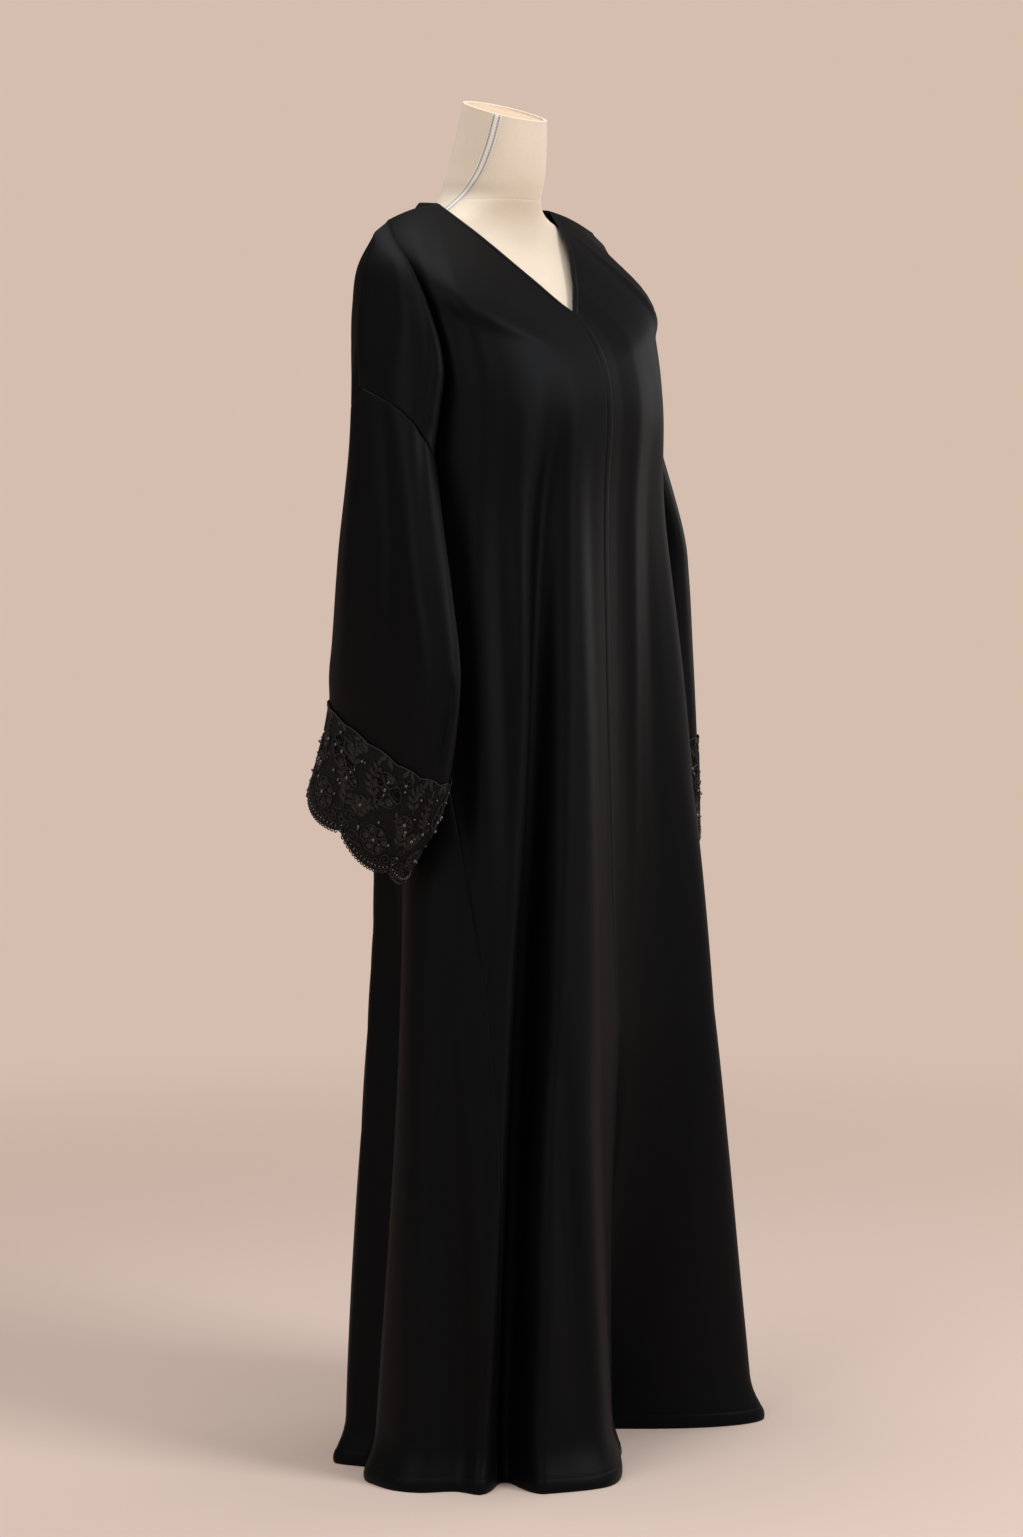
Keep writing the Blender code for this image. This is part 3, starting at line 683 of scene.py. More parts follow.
class Net:
    """A material's node tree."""

    def __init__(self, name: str) -> None:
        """Starts a material with its Principled BSDF.

        Args:
            name: the material's name.
        """
        self.material = bpy.data.materials.new(name)
        self.material.use_nodes = True
        self.tree = self.material.node_tree
        self.shader = self.tree.nodes["Principled BSDF"]

    def node(
        self,
        kind: str,
        settings: dict[str, Any] | None = None,
        inputs: dict[Any, Any] | None = None,
        output: int | str = 0,
    ) -> Value:
        """Adds a node.

        Args:
            kind: the node's type.
            settings: its own settings, set first, with a ramp's stops under "stops".
            inputs: the values or links of its sockets.
            output: the output that is wanted.

        Returns:
            The output's value.
        """
        made = self.tree.nodes.new(kind)
        for key, value in (settings or {}).items():
            if key == "stops":
                for stop, (place, colour) in zip(made.color_ramp.elements, value):
                    stop.position = place
                    stop.color = colour
            else:
                setattr(made, key, value)
        for key, value in (inputs or {}).items():
            if isinstance(value, Value):
                self.tree.links.new(value.socket, made.inputs[key])
            else:
                made.inputs[key].default_value = value
        return Value(self, made.outputs[output])

    def math(self, operation: str, *values: "Value | float", clamp: bool = False) -> Value:
        """One Math node.

        Args:
            operation: what it does.
            values: its numbers or links, in order.
            clamp: whether the result stays between 0 and 1.

        Returns:
            The result.
        """
        return self.node("ShaderNodeMath", {"operation": operation, "use_clamp": clamp}, dict(enumerate(values)))

    def blend(self, share: Value, first: Sequence[float], second: Sequence[float]) -> Value:
        """A colour between two, by a share."""
        inputs = {0: share, 6: (*first, 1.0), 7: (*second, 1.0)}
        return self.node("ShaderNodeMix", {"data_type": "RGBA"}, inputs, 2)

    def noise(self, vector: Value, scale: float, detail: float = 2.0) -> Value:
        """Noise over a vector."""
        inputs = {"Vector": vector, "Scale": scale, "Detail": detail}
        return self.node("ShaderNodeTexNoise", {}, inputs)

    def bump(self, height: Value, strength: float, distance: float, under: Value | None = None) -> Value:
        """A bump, on top of another one where it is given."""
        inputs = {"Height": height, "Strength": strength, "Distance": distance}
        if under is not None:
            inputs["Normal"] = under
        return self.node("ShaderNodeBump", {}, inputs)

    def set(self, **values: Any) -> None:
        """Sets the shader's sockets, with a name's spaces written as underscores."""
        for key, value in values.items():
            socket = self.shader.inputs[key.replace("_", " ")]
            if isinstance(value, Value):
                self.tree.links.new(value.socket, socket)
            else:
                socket.default_value = value


@dataclass(frozen=True)
class CrepeFinish:
    """Black crepe with a soft satin face and stitched lines."""

    dark: tuple[float, float, float] = (0.0014, 0.0015, 0.0019)
    light: tuple[float, float, float] = (0.0021, 0.0022, 0.0027)
    roughness: float = 0.53
    facing: float = 0.009
    turn_up: float = 0.0165
    stitch: float = 0.003

    def make(self) -> bpy.types.Material:
        """Builds the material."""
        net = Net("black_crepe")
        cloth = net.node("ShaderNodeUVMap", {"uv_map": "Cloth"})
        patch = net.noise(cloth, 7.0)
        pebble = net.noise(cloth, 1500.0, 3.0)
        crinkle = net.noise(cloth, 90.0, 3.0)
        under = net.bump(pebble, 0.35, 0.00012)
        under = net.bump(crinkle, 0.25, 0.0004, under)
        lines = self.seam(net, "Lines", self.facing) + self.seam(net, "Hem", self.turn_up)
        net.set(
            Base_Color=net.blend(patch, self.dark, self.light),
            Roughness=net.math("ADD", patch * 0.08 + pebble * 0.04, self.roughness - 0.06),
            Normal=net.bump(1.0 - lines, 0.5, 0.0004, under),
            Specular_IOR_Level=0.085,
            Specular_Tint=(0.90, 0.95, 1.0, 1.0),
        )
        return net.material

    def seam(self, net: Net, uv_map: str, distance: float) -> Value:
        """A row of stitches at a distance from an edge.

        Args:
            net: the material.
            uv_map: the map that measures from the edge and along it.
            distance: how far in the stitches lie.

        Returns:
            1 on a stitch's groove and 0 off it.
        """
        place = net.node("ShaderNodeUVMap", {"uv_map": uv_map})
        split = net.tree.nodes.new("ShaderNodeSeparateXYZ")
        net.tree.links.new(place.socket, split.inputs[0])
        away, along = Value(net, split.outputs[0]), Value(net, split.outputs[1])
        band = net.math("SUBTRACT", 1.0, abs(away - distance) / 0.0008, clamp=True)
        dash = net.math("GREATER_THAN", net.math("FRACT", along / self.stitch), 0.22)
        return band * (dash * 0.6 + 0.4)


@dataclass(frozen=True)
class LaceFinish:
    """Black lace: a fine net where it is open and dense thread work elsewhere."""

    colour: tuple[float, float, float] = (0.0012, 0.0012, 0.0014)
    sheen: tuple[float, float, float] = (0.0060, 0.0060, 0.0062)
    cell: float = 0.0021

    def make_net(self) -> bpy.types.Material:
        """Builds the see-through ground's material."""
        net = Net("lace_ground")
        cloth = net.node("ShaderNodeUVMap", {"uv_map": "Cloth"})
        opened = net.node("ShaderNodeAttribute", {"attribute_name": "open"}, {}, "Fac")
        settings = {"voronoi_dimensions": "2D", "feature": "DISTANCE_TO_EDGE"}
        inputs = {"Vector": cloth, "Scale": 1 / self.cell, "Randomness": 0.45}
        thread = net.node("ShaderNodeTexVoronoi", settings, inputs)
        work = {"Vector": cloth, "Scale": 0.45 / self.cell, "Randomness": 1.0}
        scroll = net.node("ShaderNodeTexVoronoi", settings, work)
        thick = 0.56 - opened * 0.40
        cover = net.math("MULTIPLY", thick - thread, 9.0, clamp=True)
        net.set(
            Base_Color=net.blend(scroll, self.sheen, self.colour),
            Roughness=0.62,
            Alpha=cover,
            Normal=net.bump(1.0 - scroll, 1.0, 0.0022, net.bump(1.0 - thread, 0.9, 0.0008)),
            Specular_IOR_Level=0.10,
        )
        return net.material

    def make_cord(self) -> bpy.types.Material:
        """Builds the material of the cords and satin-stitched leaves."""
        net = Net("lace_cord")
        place = net.node("ShaderNodeTexCoord", {}, {}, "Object")
        twist = net.node("ShaderNodeTexWave", {"bands_direction": "DIAGONAL"}, {"Vector": place, "Scale": 420.0})
        grain = net.noise(place, 1800.0)
        net.set(
            Base_Color=net.blend(grain, self.colour, self.sheen),
            Roughness=0.36 + twist * 0.12,
            Normal=net.bump(twist, 0.5, 0.0003),
            Specular_IOR_Level=0.35,
        )
        return net.material


@dataclass(frozen=True)
class BeadFinish:
    """Polished black beads."""

    def make(self) -> bpy.types.Material:
        """Builds the material."""
        net = Net("jet_bead")
        place = net.node("ShaderNodeTexCoord", {}, {}, "Object")
        shade = net.noise(place, 160.0)
        net.set(
            Base_Color=net.blend(shade, (0.012, 0.012, 0.014), (0.11, 0.11, 0.12)),
            Roughness=0.10 + shade * 0.08,
            Metallic=0.35,
            Coat_Weight=0.8,
            Coat_Roughness=0.05,
        )
        return net.material


@dataclass(frozen=True)
class LinenFinish:
    """Undyed linen with a plain weave."""

    name: str = "form_linen"
    light: tuple[float, float, float] = (0.75, 0.66, 0.54)
    dark: tuple[float, float, float] = (0.66, 0.57, 0.46)
    thread: float = 0.0007

    def make(self) -> bpy.types.Material:
        """Builds the material."""
        net = Net(self.name)
        cloth = net.node("ShaderNodeUVMap", {"uv_map": "Cloth"})
        waves = []
        for direction in ("X", "Y"):
            inputs = {"Vector": cloth, "Scale": 0.32 / self.thread, "Distortion": 0.6, "Detail": 1.0}
            waves.append(net.node("ShaderNodeTexWave", {"bands_direction": direction}, inputs))
        weave = waves[0] * 0.5 + waves[1] * 0.5
        slub = net.noise(cloth, 220.0, 4.0)
        patch = net.noise(cloth, 14.0)
        net.set(
            Base_Color=net.blend(slub * 0.6 + weave * 0.15 + patch * 0.25, self.dark, self.light),
            Roughness=0.82 + slub * 0.1,
            Normal=net.bump(slub, 0.2, 0.0003, net.bump(weave, 0.35, 0.00025)),
            Sheen_Weight=0.12,
        )
        return net.material


@dataclass(frozen=True)
class TapeFinish:
    """A seam tape: white down its middle with a grey broken line on each side."""

    width: float = 0.012

    def make(self) -> bpy.types.Material:
        """Builds the material."""
        net = Net("seam_tape")
        cloth = net.node("ShaderNodeUVMap", {"uv_map": "Cloth"})
        split = net.tree.nodes.new("ShaderNodeSeparateXYZ")
        net.tree.links.new(cloth.socket, split.inputs[0])
        across, along = Value(net, split.outputs[0]), Value(net, split.outputs[1])
        edge = abs(across - self.width / 2)
        line = net.math("SUBTRACT", 1.0, abs(edge - 0.0034) / 0.0020, clamp=True)
        dash = net.math("FRACT", along / 0.0034 + edge * 220.0)
        hatch = net.math("GREATER_THAN", dash, 0.45)
        net.set(
            Base_Color=net.blend(line * (hatch * 0.5 + 0.5), (0.74, 0.70, 0.64), (0.10, 0.10, 0.10)),
            Roughness=0.75,
            Normal=net.bump(dash, 0.4, 0.0002),
        )
        return net.material


@dataclass(frozen=True)
class SteelFinish:
    """Painted steel of the stand."""

    def make(self) -> bpy.types.Material:
        """Builds the material."""
        net = Net("stand_paint")
        place = net.node("ShaderNodeTexCoord", {}, {}, "Object")
        peel = net.noise(place, 260.0)
        net.set(
            Base_Color=net.blend(peel, (0.50, 0.48, 0.45), (0.58, 0.56, 0.53)),
            Roughness=0.38 + peel * 0.12,
            Metallic=0.2,
            Normal=net.bump(peel, 0.15, 0.0003),
        )
        return net.material


@dataclass
class Panel:
    """A piece of the draped cloth."""

    name: str
    finish: bpy.types.Material
    held: str = "hung"
    rests_on: tuple[str, ...] = ()
    drape: Drape = field(default_factory=Drape)

    def grids(self) -> list[Grid]:
        """The grids of the piece's surface."""
        raise NotImplementedError

    def build(self) -> bpy.types.Object:
        grids = self.grids()
        obj = panel_object(self.name + "_cloth", grids, self.finish)
        area = sheet_area(obj)
        down = max(float(grid.cloth[:, :, 1].max()) for grid in grids)
        across = max(self.width(grids), area / down * 1.01)
        thicken(obj, CLOTH_THICKNESS)
        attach(obj, "root")
        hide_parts(self.name)
        LOG.info("%s: %d faces, %.2f x %.2f m cut, %.3f m2", obj.name, len(obj.data.polygons), across, down, area)
        return obj

    def width(self, grids: Sequence[Grid]) -> float:
        """The widest row of the whole piece."""
        return max(float(grid.cloth[:, :, 0].max() - grid.cloth[:, :, 0].min()) for grid in grids)


def fine_drops() -> tuple[Array, Array]:
    """The rows of the body cloth, above and below the underarm."""
    neck = np.arange(0.0, 0.0205, 0.0013)
    upper = np.concatenate([neck, np.linspace(0.024, SEAM_DROP, 42)])
    stitch = HEM_DROP - 0.0165
    lower = np.linspace(SEAM_DROP + 0.008, stitch - 0.003, 126)
    foot = np.concatenate([stitch + np.arange(-0.0015, 0.0031, 0.0015), np.linspace(stitch + 0.006, HEM_DROP, 5)])
    return upper, np.concatenate([lower, foot])


def edge_relief(distance: Array, facing: float = 0.009) -> Array:
    """The facing under an edge: a slightly raised border with a stitched groove."""
    raised = 0.0004 * np.clip((facing + 0.001 - distance) / 0.001, 0, 1)
    return raised - 0.0007 * np.exp(-(((distance - facing) / 0.0011) ** 2))


def seam_relief(distance: Array) -> Array:
    """The shallow groove of a sewn seam."""
    return -0.0007 * np.exp(-((distance / 0.0020) ** 2))


def soften(points: Array, s: Array, drop: Array, passes: int = 50) -> Array:
    """Evens out how a front bends down the bust, leaving its borders as they are.

    Args:
        points: the grid's points.
        s: the place across the cloth of each.
        drop: the place down it of each.
        passes: how many times each row takes the mean of its neighbours.

    Returns:
        The softened points.
    """
    share = np.clip((drop - 0.10) / 0.06, 0, 1) * np.clip((0.75 - drop) / 0.15, 0, 1)
    share = (share * np.clip((0.96 - s) / 0.15, 0, 1))[:, :, None]
    soft = points.copy()
    for _ in range(passes):
        middle = (soft[:, 2:] + soft[:, :-2]) / 2
        soft[:, 1:-1] += 0.5 * share[:, 1:-1] * (middle - soft[:, 1:-1])
    return soft


def body_relief(drape: Drape, side: Side, s: Array, drop: Array) -> Array:
    """The creases of the body cloth, faded out at the fold beside the arm and at the shoulder."""
    signed = side.value * s
    total = sum(swell(crease, signed, drop, 4.0) for crease in BODY_CREASES)
    fold = np.where(drop < SEAM_DROP + 0.03, np.clip(np.abs(s - 1) / 0.08, 0, 1), 1.0)
    return total * fold * np.clip(drop / 0.02, 0, 1)


def arm_relief(side: Side, turn: Array, reach: Array) -> Array:
    """The creases of an arm, faded out next to the body."""
    total = sum(swell(crease, turn, reach, 1.0) for crease in ARM_CREASES[side])
    near = np.minimum(turn, 1 - turn)
    fold = np.where(reach < SEAM_DROP, np.clip(near / 0.05, 0, 1), 1.0)
    return total * fold * np.clip(reach / 0.03, 0, 1)


def arm_grid(drape: Drape, side: Side, back: bool, start: Array) -> Grid:
    """The arm cloth of one panel, in the order that faces out.

    Args:
        drape: the garment's surface.
        side: the wearer's side.
        back: whether it is the back's.
        start: what each row has measured up to the body fold.

    Returns:
        The grid.
    """
    upper, _ = fine_drops()
    shares = np.linspace(0.0, 1.0, 27)
    share, drop = np.meshgrid(shares, upper, indexing="ij")
    turn = 1 - share / 2 if back else share / 2
    points = drape.arm(side, share.ravel(), drop.ravel(), np.full(share.size, back)).reshape(*share.shape, 3)
    height = arm_relief(side, turn, drop) + seam_relief(SEAM_DROP - drop) * np.clip(share / 0.2, 0, 1)
    if back:
        points, height = points[::-1], height[::-1]
        grid = Grid.measured(points, side)
        grid.cloth[:, :, 0] += (start - grid.cloth[-1, :, 0])[None, :]
    else:
        grid = Grid.measured(points, side, start)
    grid.lift(height)
    return grid


@dataclass
class FrontPanel(Panel):
    """A front with its dropped shoulder, from the front edge to the side seam."""

    side: Side = Side.RIGHT

    def grids(self) -> list[Grid]:
        """The body grid and the arm grid."""
        upper, lower = fine_drops()
        drops = np.concatenate([upper, lower])
        near = np.linspace(0.0, 0.045, 13)[:-1]
        shares = np.concatenate([near, np.linspace(0.045, 0.975, 68)[:-1], np.linspace(0.975, 1.0, 7)])
        share, drop = np.meshgrid(shares, drops, indexing="ij")
        z = HEM_DROP - drop
        edge = self.drape.path(self.side.label + "_edge", z.ravel()).reshape(z.shape)
        seam = self.drape.path(self.side.label + "_side", z.ravel()).reshape(z.shape)
        s = edge + (seam - edge) * share
        inset = np.zeros_like(s)
        if self.side is Side.LEFT:
            fade = (self.drape.overlap_fade - s) / self.drape.overlap_fade_span
            inset = self.drape.overlap_inset * np.clip(fade, 0, 1)
        flat = (s.ravel(), drop.ravel(), np.zeros(s.size, bool), inset.ravel())
        points = soften(self.drape.body(self.side, *flat).reshape(*s.shape, 3), s, drop)
        grid = Grid.measured(points, self.side)
        across, down = grid.cloth[:, :, 0], grid.cloth[:, :, 1]
        neck = np.where(s < self.drape.neck_s, down, FAR)
        border = np.minimum(across, neck)
        grid.lines = np.stack([border, np.where(across < neck, down, across)], axis=2)
        hem = down[:, -1:] - down
        grid.hem = np.stack([hem, across], axis=2)
        side_distance = np.where(drop > SEAM_DROP, across[-1:, :] - across, FAR)
        height = body_relief(self.drape, self.side, s, drop) * np.clip(across / 0.02, 0, 1)
        height += edge_relief(border) + edge_relief(hem, 0.0165) + seam_relief(side_distance)
        start = across[-1, : len(upper)].copy()
        grid.lift(height)
        grid.points[:, :, 2] = np.maximum(grid.points[:, :, 2], 0.0)
        grid.points[-1, : len(upper)] = points[-1, : len(upper)]
        return [grid, arm_grid(self.drape, self.side, False, start)]


@dataclass
class BackPanel(Panel):
    """The back, cut in one piece from arm to arm."""

    def grids(self) -> list[Grid]:
        """The two body grids and the two arm grids."""
        made: list[Grid] = []
        upper, lower = fine_drops()
        drops = np.concatenate([upper, lower])
        shares = np.concatenate([np.linspace(0.0, 0.02, 7)[:-1], np.linspace(0.02, 1.0, 64)])
        share, drop = np.meshgrid(shares, drops, indexing="ij")
        for side in Side:
            seam = self.drape.path(side.label + "_side", (HEM_DROP - drop).ravel()).reshape(drop.shape)
            s = seam + (2 - seam) * share
            flat = (s.ravel(), drop.ravel(), s.ravel() >= 1, np.zeros(s.size))
            points = self.drape.body(side, *flat).reshape(*s.shape, 3)
            grid = Grid.measured(points, side)
            across, down = grid.cloth[:, :, 0].copy(), grid.cloth[:, :, 1]
            neck = np.where(s > 2 - self.drape.neck_s, down, FAR)
            grid.lines = np.stack([neck, across], axis=2)
            hem = down[:, -1:] - down
            grid.hem = np.stack([hem, across], axis=2)
            height = body_relief(self.drape, side, s, drop)
            height += edge_relief(neck) + edge_relief(hem, 0.0165)
            height += seam_relief(np.where(drop > SEAM_DROP, across, FAR))
            height *= np.clip((2 - s) / 0.02, 0, 1) * 0.999 + 0.001
            middle = grid.points[-1].copy()
            grid.lift(height)
            grid.points[-1] = middle
            grid.points[:, :, 2] = np.maximum(grid.points[:, :, 2], 0.0)
            grid.points[0, : len(upper)] = points[0, : len(upper)]
            grid.cloth[:, :, 0] = side.value * (across[-1:, :] - across)
            arm = arm_grid(self.drape, side, True, np.zeros(len(upper)))
            arm.cloth[:, :, 0] = side.value * (across[-1:, : len(upper)] - arm.cloth[:, :, 0])
            made += [grid, arm]
        return made

    def width(self, grids: Sequence[Grid]) -> float:
        """The widest row from arm to arm."""
        low = min(float(grid.cloth[:, :, 0].min()) for grid in grids)
        return max(float(grid.cloth[:, :, 0].max()) for grid in grids) - low


@dataclass
class SleevePanel(Panel):
    """A sleeve from the armhole seam to the lace."""

    side: Side = Side.RIGHT
    length: float = 0.365

    def grids(self) -> list[Grid]:
        """The sleeve's one grid, closed round the arm."""
        near = np.arange(0.0, 0.010, 0.0016)
        drops = np.concatenate([near, np.linspace(0.012, self.length, 66)])
        turns = np.linspace(0.0, 1.0, 121)
        turn, drop = np.meshgrid(turns, drops, indexing="ij")
        points = self.drape.sleeve(self.side, turn.ravel(), drop.ravel()).reshape(*turn.shape, 3)
        grid = Grid.measured(points, self.side)
        fade = np.clip(np.minimum(turn, 1 - turn) / 0.1, 0, 1)
        height = arm_relief(self.side, turn, drop + SEAM_DROP) + seam_relief(drop) * fade
        normals = grid_normals(points, self.side)
        normals[0] = normals[-1] = normals[0] + normals[-1]
        normals /= np.maximum(np.linalg.norm(normals, axis=2), 1e-12)[:, :, None]
        height[-1] = height[0]
        grid.points = points + normals * height[:, :, None]
        grid.points[-1] = grid.points[0]
        return [grid]


class Motif(NamedTuple):
    """A closed or open line of the lace, in metres round the cuff and down it."""

    line: Array
    closed: bool


@dataclass
class LaceWork:
    """The raised work of one cuff: cords, satin-stitched leaves, beads and open windows."""

    cords: list[Motif] = field(default_factory=list)
    fine: list[Motif] = field(default_factory=list)
    leaves: list[Array] = field(default_factory=list)
    beads: list[tuple[float, float, float]] = field(default_factory=list)
    windows: list[Array] = field(default_factory=list)

    def petal(self, x: float, y: float, angle: float, length: float, width: float) -> Array:
        """A petal's outline that starts at a point.

        Args:
            x: the point, round the cuff.
            y: the point, down the cuff.
            angle: the way it grows, where 0 is round the cuff and 90 degrees down it.
            length: its length.
            width: its width.

        Returns:
            The outline's points.
        """
        t = np.linspace(0, 2 * math.pi, 19)[:-1]
        along = length * (1 - np.cos(t)) / 2
        across = width / 2 * np.sin(t) * (0.62 + 0.5 * np.sin(t / 2) ** 2)
        cos, sin = math.cos(angle), math.sin(angle)
        return np.stack([x + along * cos - across * sin, y + along * sin + across * cos], axis=1)

    def flower(self, x: float, y: float, radius: float, petals: int, turn: float, window: bool) -> None:
        """A flower with corded petals and a beaded heart."""
        heart = radius * 0.22
        for k in range(petals):
            angle = turn + 2 * math.pi * k / petals
            px, py = x + heart * math.cos(angle), y + heart * math.sin(angle)
            width = 2 * radius * math.sin(math.pi / petals) * 0.92
            outline = self.petal(px, py, angle, radius - heart, width)
            self.cords.append(Motif(outline, True))
            inner = self.petal(px + heart * math.cos(angle), py + heart * math.sin(angle), angle,
                               (radius - heart) * 0.62, width * 0.5)
            if window and k % 2 == 0:
                self.windows.append(outline)
                self.fine.append(Motif(inner, True))
            else:
                self.leaves.append(inner)
        self.ring(x, y, heart * 0.9)
        self.beads.append((x, y, 0.0021))

    def ring(self, x: float, y: float, radius: float) -> None:
        """A small corded ring."""
        t = np.linspace(0, 2 * math.pi, 13)[:-1]
        self.cords.append(Motif(np.stack([x + radius * np.cos(t), y + radius * np.sin(t)], axis=1), True))

    def scroll(self, x: float, y: float, radius: float, start: float, way: int) -> None:
        """A corded scroll that winds in."""
        t = np.linspace(0, 1, 26)
        angle = start + way * t * 3.1 * math.pi
        reach = radius * (1 - 0.82 * t)
        self.cords.append(Motif(np.stack([x + reach * np.cos(angle), y + reach * np.sin(angle)], axis=1), False))

    def spray(self, points: Sequence[tuple[float, float]], leaf: float) -> None:
        """A stem with pairs of filled leaves.

        Args:
            points: the stem's points.
            leaf: the length of its leaves.
        """
        t = np.linspace(0, 1, 22)
        stem = smooth_curve(np.linspace(0, 1, len(points)).tolist(), points, t)
        self.cords.append(Motif(stem, False))
        for k in range(3, 21, 4):
            way = stem[k + 1] - stem[k - 1]
            heading = math.atan2(way[1], way[0])
            for sign in (-1, 1):
                size = leaf * (1.05 - 0.022 * k)
                outline = self.petal(*stem[k], heading + sign * 0.85, size, size * 0.44)
                self.leaves.append(outline)
                self.fine.append(Motif(outline, True))
        way = stem[-1] - stem[-2]
        self.leaves.append(self.petal(*stem[-1], math.atan2(way[1], way[0]), leaf * 0.9, leaf * 0.42))


@dataclass
class LaceCuff:
    """A lace cuff: net ground, corded work, satin leaves and beads."""

    side: Side
    ground: bpy.types.Material
    cord: bpy.types.Material
    bead: bpy.types.Material
    drape: Drape = field(default_factory=Drape)
    top: float = 0.365
    depth: float = 0.125
    scallops: int = 6
    scallop_depth: float = 0.014
    rise: float = 0.006
    around: float = 0.40

    def __post_init__(self) -> None:
        """Samples the cuff's surface, which the work is laid on."""
        self.turns = np.linspace(0.0, 1.0, 241)
        self.downs = np.linspace(-0.030, self.depth + 0.004, 76)
        turn, down = np.meshgrid(self.turns, self.downs, indexing="ij")
        drop = np.minimum(self.top + down, 0.49)
        points = self.drape.sleeve(self.side, turn.ravel(), drop.ravel()).reshape(*turn.shape, 3)
        step = points[:, self.past_end()] - points[:, self.past_end() - 1]
        extra = np.clip(self.top + down - 0.49, 0, None)
        unit = step / np.maximum(np.linalg.norm(step, axis=1), 1e-12)[:, None]
        points = points + unit[:, None, :] * extra[:, :, None]
        normals = grid_normals(points, self.side)
        normals[0] = normals[-1] = normals[0] + normals[-1]
        normals /= np.maximum(np.linalg.norm(normals, axis=2), 1e-12)[:, :, None]
        relief = arm_relief(self.side, turn, np.full_like(turn, SEAM_DROP + self.top - 0.002))
        lay = relief * np.clip(1 - down / 0.05, 0, 1) + 0.0006 + 0.0009 * np.clip(-down / 0.006 + 1, 0, 1)
        self.points = points + normals * lay[:, :, None]
        self.normals = normals
        length = arc_length(self.points, 0)[-1]
        self.around = float(length[np.searchsorted(self.downs, 0.05)])

    def past_end(self) -> int:
        """The last sampled row that is on the cuff."""
        return int(np.searchsorted(self.downs, self.depth - 1e-6)) - 1

    def place(self, line: Array, height: Array | float = 0.0) -> tuple[Array, Array]:
        """Lays a flat line on the cuff.

        Args:
            line: the line's points, round the cuff and down it.
            height: how far each point stands off.

        Returns:
            The points and the outward directions.
        """
        column = (line[:, 0] / self.around) % 1.0 * (len(self.turns) - 1)
        row = (line[:, 1] - self.downs[0]) / (self.downs[1] - self.downs[0])
        row = np.clip(row, 0, len(self.downs) - 1.001)
        i = np.clip(column.astype(int), 0, len(self.turns) - 2)
        j = row.astype(int)
        a, b = (column - i)[:, None], (row - j)[:, None]
        found = []
        for table in (self.points, self.normals):
            first = table[i, j] * (1 - a) + table[i + 1, j] * a
            second = table[i, j + 1] * (1 - a) + table[i + 1, j + 1] * a
            found.append(first * (1 - b) + second * b)
        out = found[1] / np.maximum(np.linalg.norm(found[1], axis=1), 1e-12)[:, None]
        return found[0] + out * np.broadcast_to(height, len(line))[:, None], out

    def border(self, x: Array) -> Array:
        """How far down the scalloped edge lies at each place round the cuff."""
        arch = np.abs(np.sin(math.pi * self.scallops * x / self.around)) ** 0.6
        return self.depth - self.scallop_depth * (1 - arch)

    def crest(self, x: Array) -> Array:
        """How far up the uneven top edge lies at each place round the cuff."""
        wave = np.abs(np.sin(math.pi * 14 * x / self.around)) + 0.5 * np.abs(np.sin(math.pi * 5 * x / self.around))
        return -self.rise * (0.35 + 0.65 * wave / 1.5)

    def work(self) -> LaceWork:
        """Lays out the cuff's flowers, sprays, scrolls and beads."""
        work = LaceWork()
        draw = np.random.default_rng(11 if self.side is Side.RIGHT else 12)
        span = self.around / self.scallops
        for k in range(self.scallops):
            x = (k + 0.5) * span
            low = float(self.border(np.array([x]))[0])
            lean = 0.25 * (-1) ** k
            work.flower(x, low - 0.034, 0.0165, 6, lean, False)
            work.flower(x + 0.010 * (-1) ** k, 0.030, 0.0185, 5, 0.6 + lean, True)
            work.flower(x - 0.024, 0.052, 0.0105, 5, lean, True)
            work.flower(x + 0.027, 0.066, 0.0095, 5, -lean, False)
            for way in (-1, 1):
                work.scroll(x + way * 0.023, low - 0.021, 0.0080, math.pi / 2 - way * 0.6, way)
                work.scroll(x + way * 0.0125, low - 0.0125, 0.0056, 0.4, -way)
                work.spray(((x + way * 0.030, low - 0.040), (x + way * 0.026, 0.066), (x + way * 0.014, 0.052)), 0.0105)
                work.ring(x + way * 0.033, low - 0.026, 0.0030)
                work.ring(x + way * 0.006, low - 0.0090, 0.0026)
            work.spray(((x - 0.028, 0.036), (x - 0.022, 0.018), (x - 0.030, 0.006)), 0.0100)
            work.spray(((x + 0.016, 0.048), (x + 0.026, 0.034), (x + 0.024, 0.012)), 0.0095)
            work.scroll(x - 0.013, 0.009, 0.0060, 0.0, 1)
            work.scroll(x + 0.031, 0.086, 0.0058, 1.0, -1)
            for _ in range(15):
                bx, by = x + draw.uniform(-0.5, 0.5) * span, draw.uniform(0.006, 0.100)
                work.beads.append((bx, by, draw.uniform(0.0011, 0.0019)))
        self.edges(work)
        return work

